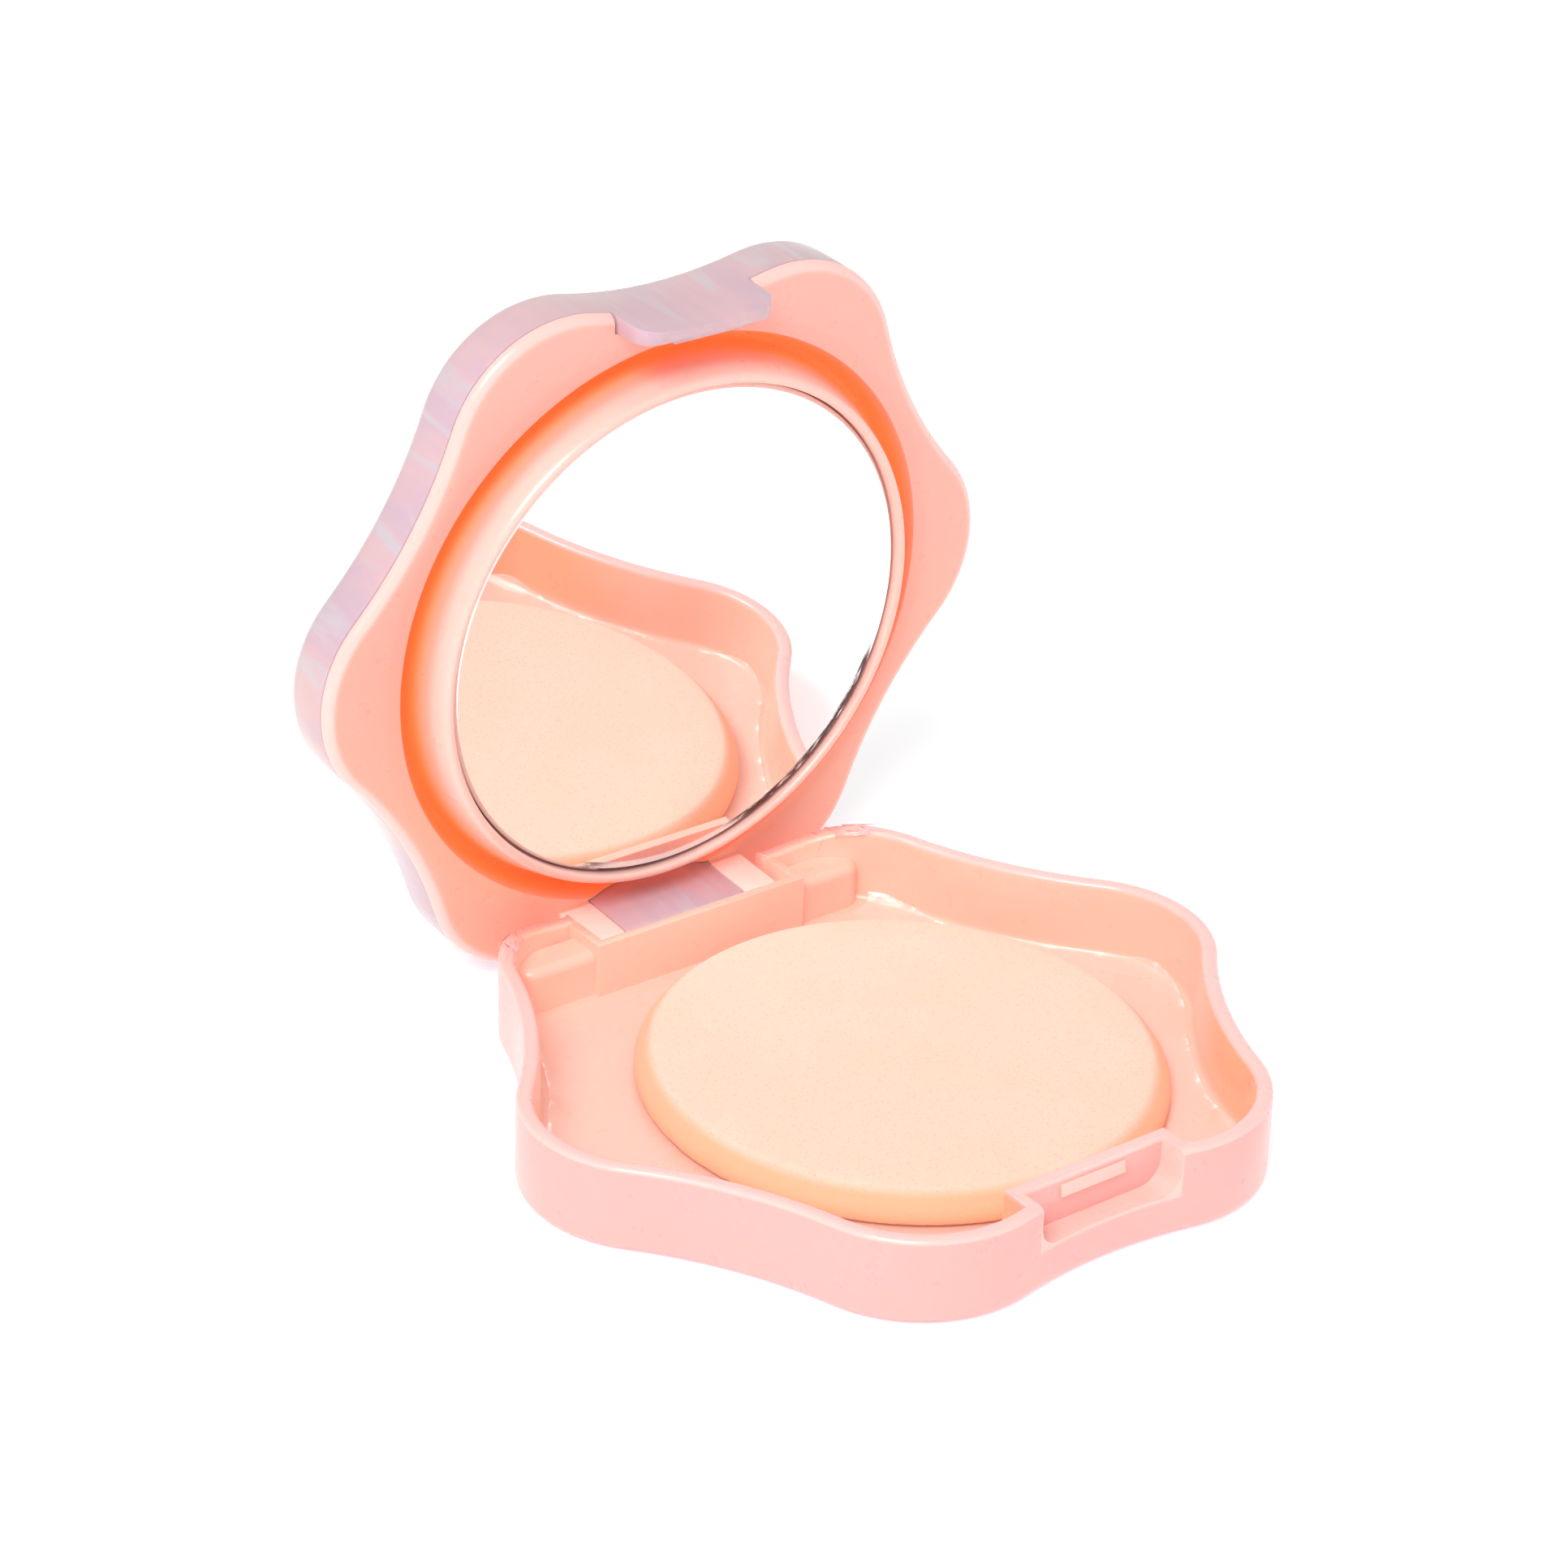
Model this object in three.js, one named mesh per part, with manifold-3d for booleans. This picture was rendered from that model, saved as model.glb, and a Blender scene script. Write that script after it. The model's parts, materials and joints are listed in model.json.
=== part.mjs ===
// A flower-shaped powder compact: a tray with a sponge puff, and a mirror lid on a pinned hinge.
// Units are millimetres. +Z is up, +X runs along the hinge pin and the latch faces -Y.
// The lid is drawn shut, in the tray's frame, and is then turned open about the hinge pin.
import * as THREE from 'three';
import { mergeVertices } from 'three/addons/utils/BufferGeometryUtils.js';
import Module from 'manifold-3d';

const wasm = await Module();
wasm.setup();

// Outline: six round lobes joined by shallow waists, all tangent arcs.
const LOBES = 6;
const LOBE_REACH = 40;          // centre to a lobe's tip
const WAIST_REACH = 35.02;      // centre to the middle of a waist
const LOBE_R = 13.46;
const OUTLINE_STEPS = 8;        // straight steps in each arc

// Tray
const TRAY_H = 9.11;
const TRAY_WALL = 1.72;
const FLOOR_T = 1.0;
const TRAY_EDGE = 0.4;          // rounding of the rim and of the bottom edge
const LINER_T = 0.2;
const LINER_INSET = 0.35;       // gap between the liner and the tray wall

// Hinge
const PIN_Y = 33.16;
const PIN_Z = 3.49;
const PIN_R = 0.75;
const PIN_HALF_LENGTH = 19.6;
const PIN_RUNNING_GAP = 0.1;
const KNUCKLE_IN = 2.16;        // pin axis to the knuckle's tray side
const KNUCKLE_OUT = 1.84;       // pin axis to the knuckle's outer side
const KNUCKLE_CORNER = 1.52;    // rounding of the knuckle's outer lower edge
const KNUCKLE_HALF = 11.5;      // half of the whole knuckle's length
const SHELL_KNUCKLE_HALF = 7.5; // half of the middle knuckle, which belongs to the lid shell
const POCKET_HALF = 12;
const POCKET_FRONT = 30.2;
const POCKET_WALL = 1.0;
const POCKET_TOP = 6.95;
const POCKET_FLOOR = 1.05;
const BOSS_END = 21.6;
const BOSS_Y = 32.2;
const BOSS_R = 2.3;
const BOSS_TOP = 5.8;
const BOSS_CORNER = 0.7;
const DIP_START = 12.5;         // the rim dips to the hinge between these two distances from x = 0
const DIP_END = 24.5;
const DIP_BACK = 28;
const DIP_LOW = 7.0;

// Latch
const NOTCH_HALF = 8.5;
const NOTCH_FLOOR = 4.4;
const NOTCH_CORNER_R = 2.4;
const NOTCH_BACK = -32.6;
const NOTCH_WALL = 1.2;
const CATCH_HALF = 3.9;
const CATCH_DEPTH = 0.45;       // at its lower edge, from which it slopes back
const CATCH_LOW = 7.2;
const CATCH_HIGH = 8.9;
const TAB_HALF = 8.2;
const TAB_LOW = 5.0;
const TAB_BACK = -34.0;
const TAB_HOOK_DEPTH = 0.75;
const TAB_HOOK_LOW = 5.6;
const TAB_HOOK_HIGH = 6.6;

// Lid
const OPEN_DEG = 86.14;
const FACE_Z = 9.31;            // the lid's flat face, with the lid shut
const LID_TOP = 16.4;
const SHELL_WALL = 0.8;
const SHELL_TOP_T = 1.1;
const SHELL_EDGE = 1.2;
const WALL_LAP = 1.0;           // how far the tab and the knuckle run up inside the wall
const KNUCKLE_RISE = 1.6;       // lid face to the top of the middle knuckle
const FILM_T = 0.2;
const FRAME_GAP = 0.2;          // between the frame and the shell, and round the film
const FRAME_T = 1.2;
const FRAME_EDGE = 1.1;         // rounding of the frame's outer edge
const GROOVE_R = 31.6;
const LIP_OUT_R = 28.3;
const LIP_IN_R = 27.3;
const LIP_Z = 6.15;
const CREASE_R = 30.2;
const CREASE_Z = 11.9;
const MIRROR_R = 27.1;
const MIRROR_Z = 6.8;
const MIRROR_T = 1.3;
const PAD_R = 21;
const PAD_T = 0.3;
const PAD_GAP = 0.15;
const SEAT_Z = 8.7;
const SEAT_T = 0.9;

// Puff
const PUFF_X = 3.2;
const PUFF_Y = 0.1;
const PUFF_HALF_A = 26.0;
const PUFF_HALF_B = 27.0;
const PUFF_TURN = THREE.MathUtils.degToRad(-15.7);
const PUFF_TOP = 4.55;
const PUFF_EDGE = 1.3;

const ROUND_STEPS = 64;         // steps round the mirror ring
const ARC_STEPS = 4;            // steps in a small rounding
const DIP_STEPS = 12;
const MERGE_MM = 1e-4;
const FAR = 60;                 // well outside the compact

const LOBE_TURN = (2 * Math.PI) / LOBES;
const HALF_TURN = LOBE_TURN / 2;
const LOBE_CENTRE = LOBE_REACH - LOBE_R;
const WAIST_R = (LOBE_CENTRE ** 2 + WAIST_REACH ** 2 - LOBE_R ** 2
  - 2 * LOBE_CENTRE * Math.cos(HALF_TURN) * WAIST_REACH)
  / (2 * (LOBE_R + LOBE_CENTRE * Math.cos(HALF_TURN) - WAIST_REACH));
const WAIST_CENTRE = WAIST_REACH + WAIST_R;
const TANGENT = Math.atan2(
  WAIST_CENTRE * Math.sin(HALF_TURN),
  WAIST_CENTRE * Math.cos(HALF_TURN) - LOBE_CENTRE,
);

// Points of an arc, without its last point, which the next arc starts with.
function arcPoints(x, y, radius, from, to, steps) {
  const arc = new THREE.EllipseCurve(x, y, radius, radius, from, to, to < from);
  return arc.getPoints(steps).slice(0, -1);
}

// The six-lobed outline, moved inwards by inset all round.
function lobedOutline(inset) {
  const points = [];
  for (let lobe = 0; lobe < LOBES; lobe += 1) {
    const turn = lobe * LOBE_TURN;
    points.push(...arcPoints(
      LOBE_CENTRE * Math.cos(turn),
      LOBE_CENTRE * Math.sin(turn),
      LOBE_R - inset,
      turn - TANGENT,
      turn + TANGENT,
      OUTLINE_STEPS,
    ));
    points.push(...arcPoints(
      WAIST_CENTRE * Math.cos(turn + HALF_TURN),
      WAIST_CENTRE * Math.sin(turn + HALF_TURN),
      WAIST_R + inset,
      turn + TANGENT + Math.PI,
      turn + LOBE_TURN - TANGENT + Math.PI,
      OUTLINE_STEPS,
    ));
  }
  return points;
}

// A three.js geometry as a solid that can be joined and cut.
function solid(geometry) {
  geometry.deleteAttribute('normal');
  geometry.deleteAttribute('uv');
  const merged = mergeVertices(geometry, MERGE_MM);
  return new wasm.Manifold(new wasm.Mesh({
    numProp: 3,
    vertProperties: new Float32Array(merged.attributes.position.array),
    triVerts: new Uint32Array(merged.index.array),
  }));
}

// A solid as a named mesh with its own material.
function part(name, shape, color, roughness, metalness = 0) {
  const cut = shape.getMesh();
  const geometry = new THREE.BufferGeometry();
  geometry.setAttribute('position', new THREE.BufferAttribute(cut.vertProperties, cut.numProp));
  geometry.setIndex(new THREE.BufferAttribute(cut.triVerts, 1));
  geometry.computeVertexNormals();
  const mesh = new THREE.Mesh(
    geometry,
    new THREE.MeshStandardMaterial({ color, roughness, metalness }),
  );
  mesh.name = name;
  return mesh;
}

// An outline raised from low to high, with both edges rounded by edge.
function prism(points, low, high, edge = 0) {
  const geometry = new THREE.ExtrudeGeometry(new THREE.Shape(points), {
    depth: high - low - 2 * edge,
    bevelEnabled: edge > 0,
    bevelThickness: edge,
    bevelSize: edge,
    bevelOffset: -edge,
    bevelSegments: ARC_STEPS,
  });
  geometry.translate(0, 0, low + edge);
  return solid(geometry);
}

function box(x0, x1, y0, y1, z0, z1) {
  const geometry = new THREE.BoxGeometry(x1 - x0, y1 - y0, z1 - z0);
  geometry.translate((x0 + x1) / 2, (y0 + y1) / 2, (z0 + z1) / 2);
  return solid(geometry);
}

// A box between -half and +half in X.
function slab(half, y0, y1, z0, z1) {
  return box(-half, half, y0, y1, z0, z1);
}

// A section drawn in (y, z) and run along X from x0 to x1.
function alongX(points, x0, x1) {
  const geometry = new THREE.ExtrudeGeometry(new THREE.Shape(points), {
    depth: x1 - x0,
    bevelEnabled: false,
  });
  geometry.rotateX(Math.PI / 2);
  geometry.rotateZ(Math.PI / 2);
  geometry.translate(x0, 0, 0);
  return solid(geometry);
}

// A section drawn in (x, z) and run along Y from y0 to y1.
function alongY(points, y0, y1) {
  const geometry = new THREE.ExtrudeGeometry(new THREE.Shape(points), {
    depth: y1 - y0,
    bevelEnabled: false,
  });
  geometry.rotateX(Math.PI / 2);
  geometry.translate(0, y1, 0);
  return solid(geometry);
}

function discAlongX(radius, y, z, x0, x1, steps = 24) {
  return alongX(arcPoints(y, z, radius, 0, 2 * Math.PI, steps), x0, x1);
}

// A tongue with two round lower corners, wide in X, from low up to high.
function tongueSection(half, low, high, corner) {
  return [
    ...arcPoints(-half + corner, low + corner, corner, Math.PI, 1.5 * Math.PI, ARC_STEPS),
    new THREE.Vector2(-half + corner, low),
    ...arcPoints(half - corner, low + corner, corner, 1.5 * Math.PI, 2 * Math.PI, ARC_STEPS),
    new THREE.Vector2(half, low + corner),
    new THREE.Vector2(half, high),
    new THREE.Vector2(-half, high),
  ];
}

// The hinge tongue's section in (y, z): round below the pin, straight up to high.
function knuckleSection(high) {
  const cornerY = PIN_Y + KNUCKLE_OUT - KNUCKLE_CORNER;
  const cornerZ = PIN_Z - KNUCKLE_IN + KNUCKLE_CORNER;
  return [
    ...arcPoints(PIN_Y, PIN_Z, KNUCKLE_IN, Math.PI, 1.5 * Math.PI, 2 * ARC_STEPS),
    new THREE.Vector2(PIN_Y, PIN_Z - KNUCKLE_IN),
    new THREE.Vector2(cornerY, PIN_Z - KNUCKLE_IN),
    ...arcPoints(cornerY, cornerZ, KNUCKLE_CORNER, 1.5 * Math.PI, 2 * Math.PI, 2 * ARC_STEPS),
    new THREE.Vector2(PIN_Y + KNUCKLE_OUT, cornerZ),
    new THREE.Vector2(PIN_Y + KNUCKLE_OUT, high),
    new THREE.Vector2(PIN_Y - KNUCKLE_IN, high),
  ];
}

// The hole for the pin, from x0 to x1.
function pinHole(x0, x1) {
  return discAlongX(PIN_R + PIN_RUNNING_GAP, PIN_Y, PIN_Z, x0, x1);
}

// A ring turned about Z from a section in (radius, z), which runs clockwise and closes on itself.
function ring(section) {
  const points = section.map(([radius, z]) => new THREE.Vector2(radius, z));
  const geometry = new THREE.LatheGeometry([...points, points[0]].reverse(), ROUND_STEPS);
  geometry.rotateX(Math.PI / 2);
  return solid(geometry);
}

function disc(radius, low, high, edge = 0) {
  return prism(arcPoints(0, 0, radius, 0, 2 * Math.PI, ROUND_STEPS), low, high, edge);
}

// One of the two bosses that hold the pin's ends: flat on top, with a round end.
function pinBoss() {
  const side = BOSS_R - BOSS_CORNER;
  const shoulder = BOSS_TOP - BOSS_CORNER;
  const arch = [
    ...arcPoints(BOSS_Y + side, shoulder, BOSS_CORNER, 0, Math.PI / 2, ARC_STEPS),
    new THREE.Vector2(BOSS_Y + side, BOSS_TOP),
    ...arcPoints(BOSS_Y - side, shoulder, BOSS_CORNER, Math.PI / 2, Math.PI, ARC_STEPS),
    new THREE.Vector2(BOSS_Y - BOSS_R, shoulder),
    new THREE.Vector2(BOSS_Y - BOSS_R, FLOOR_T / 2),
    new THREE.Vector2(BOSS_Y + BOSS_R, FLOOR_T / 2),
  ];
  const plan = [
    new THREE.Vector2(POCKET_HALF, BOSS_Y + BOSS_R),
    new THREE.Vector2(POCKET_HALF, BOSS_Y - BOSS_R),
    ...arcPoints(BOSS_END - BOSS_R, BOSS_Y, BOSS_R, -Math.PI / 2, Math.PI / 2, 3 * ARC_STEPS),
    new THREE.Vector2(BOSS_END - BOSS_R, BOSS_Y + BOSS_R),
  ];
  return alongX(arch, POCKET_HALF, BOSS_END).intersect(prism(plan, 0, TRAY_H));
}

// What the rim's dip towards the hinge takes away; the lid's face swings past it.
function rimDip() {
  const right = [];
  for (let step = 0; step <= DIP_STEPS; step += 1) {
    const ease = (1 - Math.cos((Math.PI * step) / DIP_STEPS)) / 2;
    right.push(new THREE.Vector2(
      THREE.MathUtils.lerp(DIP_START, DIP_END, step / DIP_STEPS),
      THREE.MathUtils.lerp(DIP_LOW, TRAY_H, ease),
    ));
  }
  const left = right.map((point) => new THREE.Vector2(-point.x, point.y)).reverse();
  const above = 2 * TRAY_H;
  const top = [new THREE.Vector2(DIP_END, above), new THREE.Vector2(-DIP_END, above)];
  return alongY([...left, ...right, ...top], DIP_BACK, FAR);
}

function trayShape() {
  const outer = prism(lobedOutline(0), 0, TRAY_H, TRAY_EDGE);
  const bowl = prism(lobedOutline(TRAY_WALL), FLOOR_T, TRAY_H + 1);
  const pocket = slab(
    POCKET_HALF + POCKET_WALL, POCKET_FRONT - POCKET_WALL, FAR, FLOOR_T / 2, POCKET_TOP,
  );
  const boss = pinBoss();
  const notchWall = slab(
    NOTCH_HALF + NOTCH_WALL, -FAR, NOTCH_BACK + NOTCH_WALL, FLOOR_T / 2, TRAY_H - TRAY_EDGE / 2,
  );
  const notch = alongY(
    tongueSection(NOTCH_HALF, NOTCH_FLOOR, TRAY_H + 1, NOTCH_CORNER_R), -FAR, NOTCH_BACK,
  );
  const catchSection = [
    new THREE.Vector2(NOTCH_BACK + NOTCH_WALL / 2, CATCH_LOW),
    new THREE.Vector2(NOTCH_BACK + NOTCH_WALL / 2, CATCH_HIGH),
    new THREE.Vector2(NOTCH_BACK, CATCH_HIGH),
    new THREE.Vector2(NOTCH_BACK - CATCH_DEPTH, CATCH_LOW + CATCH_DEPTH),
    new THREE.Vector2(NOTCH_BACK - CATCH_DEPTH, CATCH_LOW),
  ];
  const catchBar = alongX(catchSection, -CATCH_HALF, CATCH_HALF);
  const fittings = pocket.add(boss).add(boss.mirror([1, 0, 0])).add(notchWall);
  return outer.subtract(bowl)
    .add(outer.intersect(fittings))
    .subtract(slab(POCKET_HALF, POCKET_FRONT, FAR, POCKET_FLOOR, FAR))
    .subtract(rimDip())
    .subtract(pinHole(-PIN_HALF_LENGTH - PIN_RUNNING_GAP, FAR))
    .subtract(notch)
    .add(catchBar);
}

// The clear sheet on the tray's floor, cut back round the hinge pocket and the latch pocket.
function linerShape() {
  const low = FLOOR_T;
  const high = FLOOR_T + LINER_T;
  return prism(lobedOutline(TRAY_WALL + LINER_INSET), low, high)
    .subtract(slab(BOSS_END + LINER_INSET, BOSS_Y - BOSS_R - 1.2, FAR, 0, TRAY_H))
    .subtract(slab(
      NOTCH_HALF + NOTCH_WALL + LINER_INSET,
      -FAR,
      NOTCH_BACK + NOTCH_WALL + LINER_INSET,
      0,
      TRAY_H,
    ));
}

function puffShape() {
  const ellipse = new THREE.EllipseCurve(
    PUFF_X, PUFF_Y, PUFF_HALF_A, PUFF_HALF_B, 0, 2 * Math.PI, false, PUFF_TURN,
  );
  const outline = ellipse.getPoints(ROUND_STEPS / 2).slice(0, -1);
  return prism(outline, FLOOR_T + LINER_T, PUFF_TOP, PUFF_EDGE);
}

function shellShape() {
  const dome = prism(lobedOutline(0), 0, LID_TOP, SHELL_EDGE);
  const hollow = prism(lobedOutline(SHELL_WALL), 0, LID_TOP - SHELL_TOP_T);
  const wallLow = FACE_Z + FRAME_T + FRAME_GAP;
  const cover = dome.subtract(hollow).subtract(slab(FAR, -FAR, FAR, -1, wallLow));
  const column = prism(lobedOutline(0), 0, LID_TOP - SHELL_EDGE);
  const tab = alongY(
    tongueSection(TAB_HALF, TAB_LOW, wallLow + WALL_LAP, NOTCH_CORNER_R), -FAR, TAB_BACK,
  );
  const hook = slab(
    CATCH_HALF, TAB_BACK - SHELL_WALL / 2, TAB_BACK + TAB_HOOK_DEPTH, TAB_HOOK_LOW, TAB_HOOK_HIGH,
  );
  const knuckle = alongX(
    knuckleSection(FACE_Z + KNUCKLE_RISE), -SHELL_KNUCKLE_HALF, SHELL_KNUCKLE_HALF,
  );
  const block = slab(SHELL_KNUCKLE_HALF, PIN_Y, FAR, FACE_Z - 0.5, wallLow + WALL_LAP);
  return cover
    .add(column.intersect(tab.add(block)))
    .add(hook)
    .add(knuckle)
    .subtract(pinHole(-KNUCKLE_HALF, KNUCKLE_HALF));
}

function filmShape() {
  const high = LID_TOP - SHELL_TOP_T - FRAME_GAP;
  return prism(lobedOutline(SHELL_WALL + FRAME_GAP), high - FILM_T, high);
}

// Section of the ring that carries the mirror: groove, raised lip and seat, then its back.
const MIRROR_RING = [
  [GROOVE_R, FACE_Z],
  [31.2, 10.4],
  [CREASE_R, CREASE_Z],
  [29.5, 10.3],
  [29.0, 8.6],
  [28.6, 7.2],
  [LIP_OUT_R, 6.6],
  [28.05, LIP_Z + 0.08],
  [27.8, LIP_Z],
  [27.5, LIP_Z + 0.08],
  [LIP_IN_R, LIP_Z + 0.35],
  [LIP_IN_R, SEAT_Z + SEAT_T],
  [27.9, SEAT_Z + SEAT_T + 0.4],
  [28.6, 12.0],
  [29.4, 12.9],
  [31.2, 12.9],
  [32.6, 11.0],
  [32.8, FACE_Z + FRAME_T / 2],
  [GROOVE_R + 0.6, FACE_Z + 0.15],
];

function frameShape() {
  const outline = lobedOutline(0);
  const ringShape = ring(MIRROR_RING);
  const plate = prism(outline, FACE_Z, FACE_Z + 2 * FRAME_T, FRAME_EDGE)
    .subtract(slab(FAR, -FAR, FAR, FACE_Z + FRAME_T, LID_TOP))
    .subtract(disc(GROOVE_R + 0.3, 0, LID_TOP));
  const seat = disc(LIP_IN_R + 0.4, SEAT_Z, SEAT_Z + SEAT_T);
  const knuckleRoom = slab(FAR, -FAR, FAR, 0, FACE_Z - FRAME_GAP)
    .add(prism(outline, 0, FACE_Z + FRAME_T / 2));
  const knuckle = alongX(knuckleSection(FACE_Z + FRAME_T / 2), -KNUCKLE_HALF, KNUCKLE_HALF)
    .intersect(knuckleRoom);
  return plate.add(ringShape).add(seat)
    .add(knuckle)
    .subtract(slab(
      SHELL_KNUCKLE_HALF + FRAME_GAP,
      PIN_Y - KNUCKLE_IN - FRAME_GAP,
      FAR,
      0,
      FACE_Z + KNUCKLE_RISE + FRAME_GAP,
    ))
    .subtract(slab(TAB_HALF + FRAME_GAP, -FAR, TAB_BACK + FRAME_GAP, 0, LID_TOP))
    .subtract(pinHole(-FAR, FAR));
}

const CORAL = 0xffb9a8;

const tray = part('base_tray', trayShape(), CORAL, 0.3);
const hingePin = part(
  'hinge_pin',
  discAlongX(PIN_R, PIN_Y, PIN_Z, -PIN_HALF_LENGTH, PIN_HALF_LENGTH),
  0xc8c8cc,
  0.3,
  1,
);
const liner = part('clear_liner', linerShape(), 0xf6f4f2, 0.12);
const puff = part('puff', puffShape(), 0xffe0c6, 0.95);
const shell = part('lid_outer_shell', shellShape(), 0xe6c8d4, 0.2);
const film = part('lid_pearl_film', filmShape(), 0xd8ccea, 0.25, 0.3);
const frame = part('lid_inner_frame', frameShape(), CORAL, 0.3);
const mirror = part('mirror_glass', disc(MIRROR_R, MIRROR_Z, MIRROR_Z + MIRROR_T, 0.15), 0xf2f4f6, 0.03, 1);
const pad = part(
  'mirror_adhesive_pad',
  disc(PAD_R, MIRROR_Z + MIRROR_T + PAD_GAP, MIRROR_Z + MIRROR_T + PAD_GAP + PAD_T),
  0xf4f2ee,
  0.9,
);

const lid = new THREE.Group();
lid.position.set(0, PIN_Y, PIN_Z);
lid.rotation.x = -THREE.MathUtils.degToRad(OPEN_DEG);
for (const piece of [shell, film, frame, mirror, pad]) {
  piece.position.set(0, -PIN_Y, -PIN_Z);
  lid.add(piece);
}

const compact = new THREE.Group();
compact.add(tray, hingePin, liner, puff, lid);

export default compact;
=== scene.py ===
# %% [markdown]
# # A flower-shaped powder compact
# A pocket compact is a small case for face powder: a tray with a sponge puff, and a lid with a
# mirror. This lesson dresses a finished engineering model. The frame already knows where the hinge
# is and how far the lid opens, so Blender only has to make every piece look like the real thing.
#
# The first step loads that frame. Its nodes are the plain solids, and its bodies are what moves.

# %% Load the frame
import json
import math

import bmesh
import bpy
from mathutils import Matrix, Vector, noise


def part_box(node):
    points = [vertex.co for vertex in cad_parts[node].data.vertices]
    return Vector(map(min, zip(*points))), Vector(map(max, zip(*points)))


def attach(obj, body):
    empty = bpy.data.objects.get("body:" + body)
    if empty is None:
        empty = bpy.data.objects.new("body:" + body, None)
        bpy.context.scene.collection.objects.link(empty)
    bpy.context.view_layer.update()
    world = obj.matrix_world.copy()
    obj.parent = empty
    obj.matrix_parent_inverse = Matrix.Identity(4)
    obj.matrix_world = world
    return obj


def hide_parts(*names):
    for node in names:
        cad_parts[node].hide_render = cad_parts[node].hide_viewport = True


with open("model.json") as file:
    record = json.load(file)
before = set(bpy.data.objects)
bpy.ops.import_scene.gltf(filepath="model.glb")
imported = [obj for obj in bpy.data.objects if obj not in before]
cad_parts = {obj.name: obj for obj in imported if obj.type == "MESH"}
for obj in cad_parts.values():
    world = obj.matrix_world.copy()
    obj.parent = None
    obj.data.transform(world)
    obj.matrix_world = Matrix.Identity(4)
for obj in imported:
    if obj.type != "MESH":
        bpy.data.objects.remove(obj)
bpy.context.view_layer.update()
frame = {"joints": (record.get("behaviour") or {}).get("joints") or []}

# %% [markdown]
# ## The sizes that drive everything
# Blender works in metres, but a compact is drawn in millimetres, so one constant converts. The
# hinge axis and the lid's angle come from the frame's own joint, and the tray's height and reach
# come from its node. What the frame can't say, such as a wall's thickness, is a named value here.
#
# The outline has six round lobes joined by shallow waists. Both are arcs that touch smoothly, so
# one equation gives the waist's radius from the two reaches and the lobe's radius.

# %% Driving sizes
MM = 0.001
hinge = next(joint for joint in frame["joints"] if joint["name"] == "lid_hinge")
PIN_Y, PIN_Z = (value / MM for value in hinge["pos_m"][1:])
OPEN_ANGLE = -math.radians(hinge["range_deg"][0])
TRAY_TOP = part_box("base_tray")[1].z / MM
LOBE_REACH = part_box("base_tray")[1].x / MM
WAIST_REACH = 35.02
LOBE_R = 13.46
LOBE_STEPS = 24
WAIST_STEPS = 10

SIXTH = math.pi / 3
LOBE_CENTRE = LOBE_REACH - LOBE_R
_ahead = math.cos(SIXTH / 2)
WAIST_R = (LOBE_CENTRE**2 + WAIST_REACH**2 - 2 * LOBE_CENTRE * _ahead * WAIST_REACH - LOBE_R**2) / (
    2 * (LOBE_R + LOBE_CENTRE * _ahead - WAIST_REACH)
)
WAIST_CENTRE = WAIST_REACH + WAIST_R
TANGENT = math.atan2(
    WAIST_CENTRE * math.sin(SIXTH / 2), WAIST_CENTRE * _ahead - LOBE_CENTRE
)
print(f"waist radius {WAIST_R:.1f} mm, each lobe turns {2 * math.degrees(TANGENT):.0f} degrees")

# %% [markdown]
# ## Drawing one outline ring
# By hand this would be a vertex spun round the lobe's centre, spun again round the waist's centre,
# and then copied round the middle five times. The code does exactly that in edit mode. With no
# window, a spin's positive angle runs clockwise, so the angle is turned round once, here.

# %% Ring helpers
def deselect():
    """Leaves edit mode and drops every selection, because operators act on all that is selected."""
    if bpy.context.object and bpy.context.object.mode == "EDIT":
        bpy.ops.object.mode_set(mode="OBJECT")
    bpy.ops.object.select_all(action="DESELECT")


def make_active(piece):
    deselect()
    bpy.context.view_layer.objects.active = piece
    piece.select_set(True)


def edit_all(piece):
    """Opens a piece in edit mode with everything selected."""
    make_active(piece)
    bpy.ops.object.mode_set(mode="EDIT")
    bpy.ops.mesh.select_all(action="SELECT")


def end_edit():
    bpy.ops.object.mode_set(mode="OBJECT")


def shade(piece, degrees):
    """Shades smoothly across every edge flatter than an angle."""
    make_active(piece)
    bpy.ops.object.shade_smooth_by_angle(angle=math.radians(degrees))


def new_piece(name):
    """An empty mesh in edit mode, ready to draw in."""
    deselect()
    bpy.ops.object.add(type="MESH", location=(0, 0, 0))
    piece = bpy.context.object
    piece.name = piece.data.name = name
    bpy.ops.object.mode_set(mode="EDIT")
    return piece


def spin(centre, angle, steps, copies=False):
    """Spins the selected vertices about a vertical line through centre, anticlockwise."""
    bpy.ops.mesh.spin(
        steps=steps, angle=-angle, center=[v * MM for v in centre], axis=(0, 0, 1), dupli=copies
    )


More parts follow.
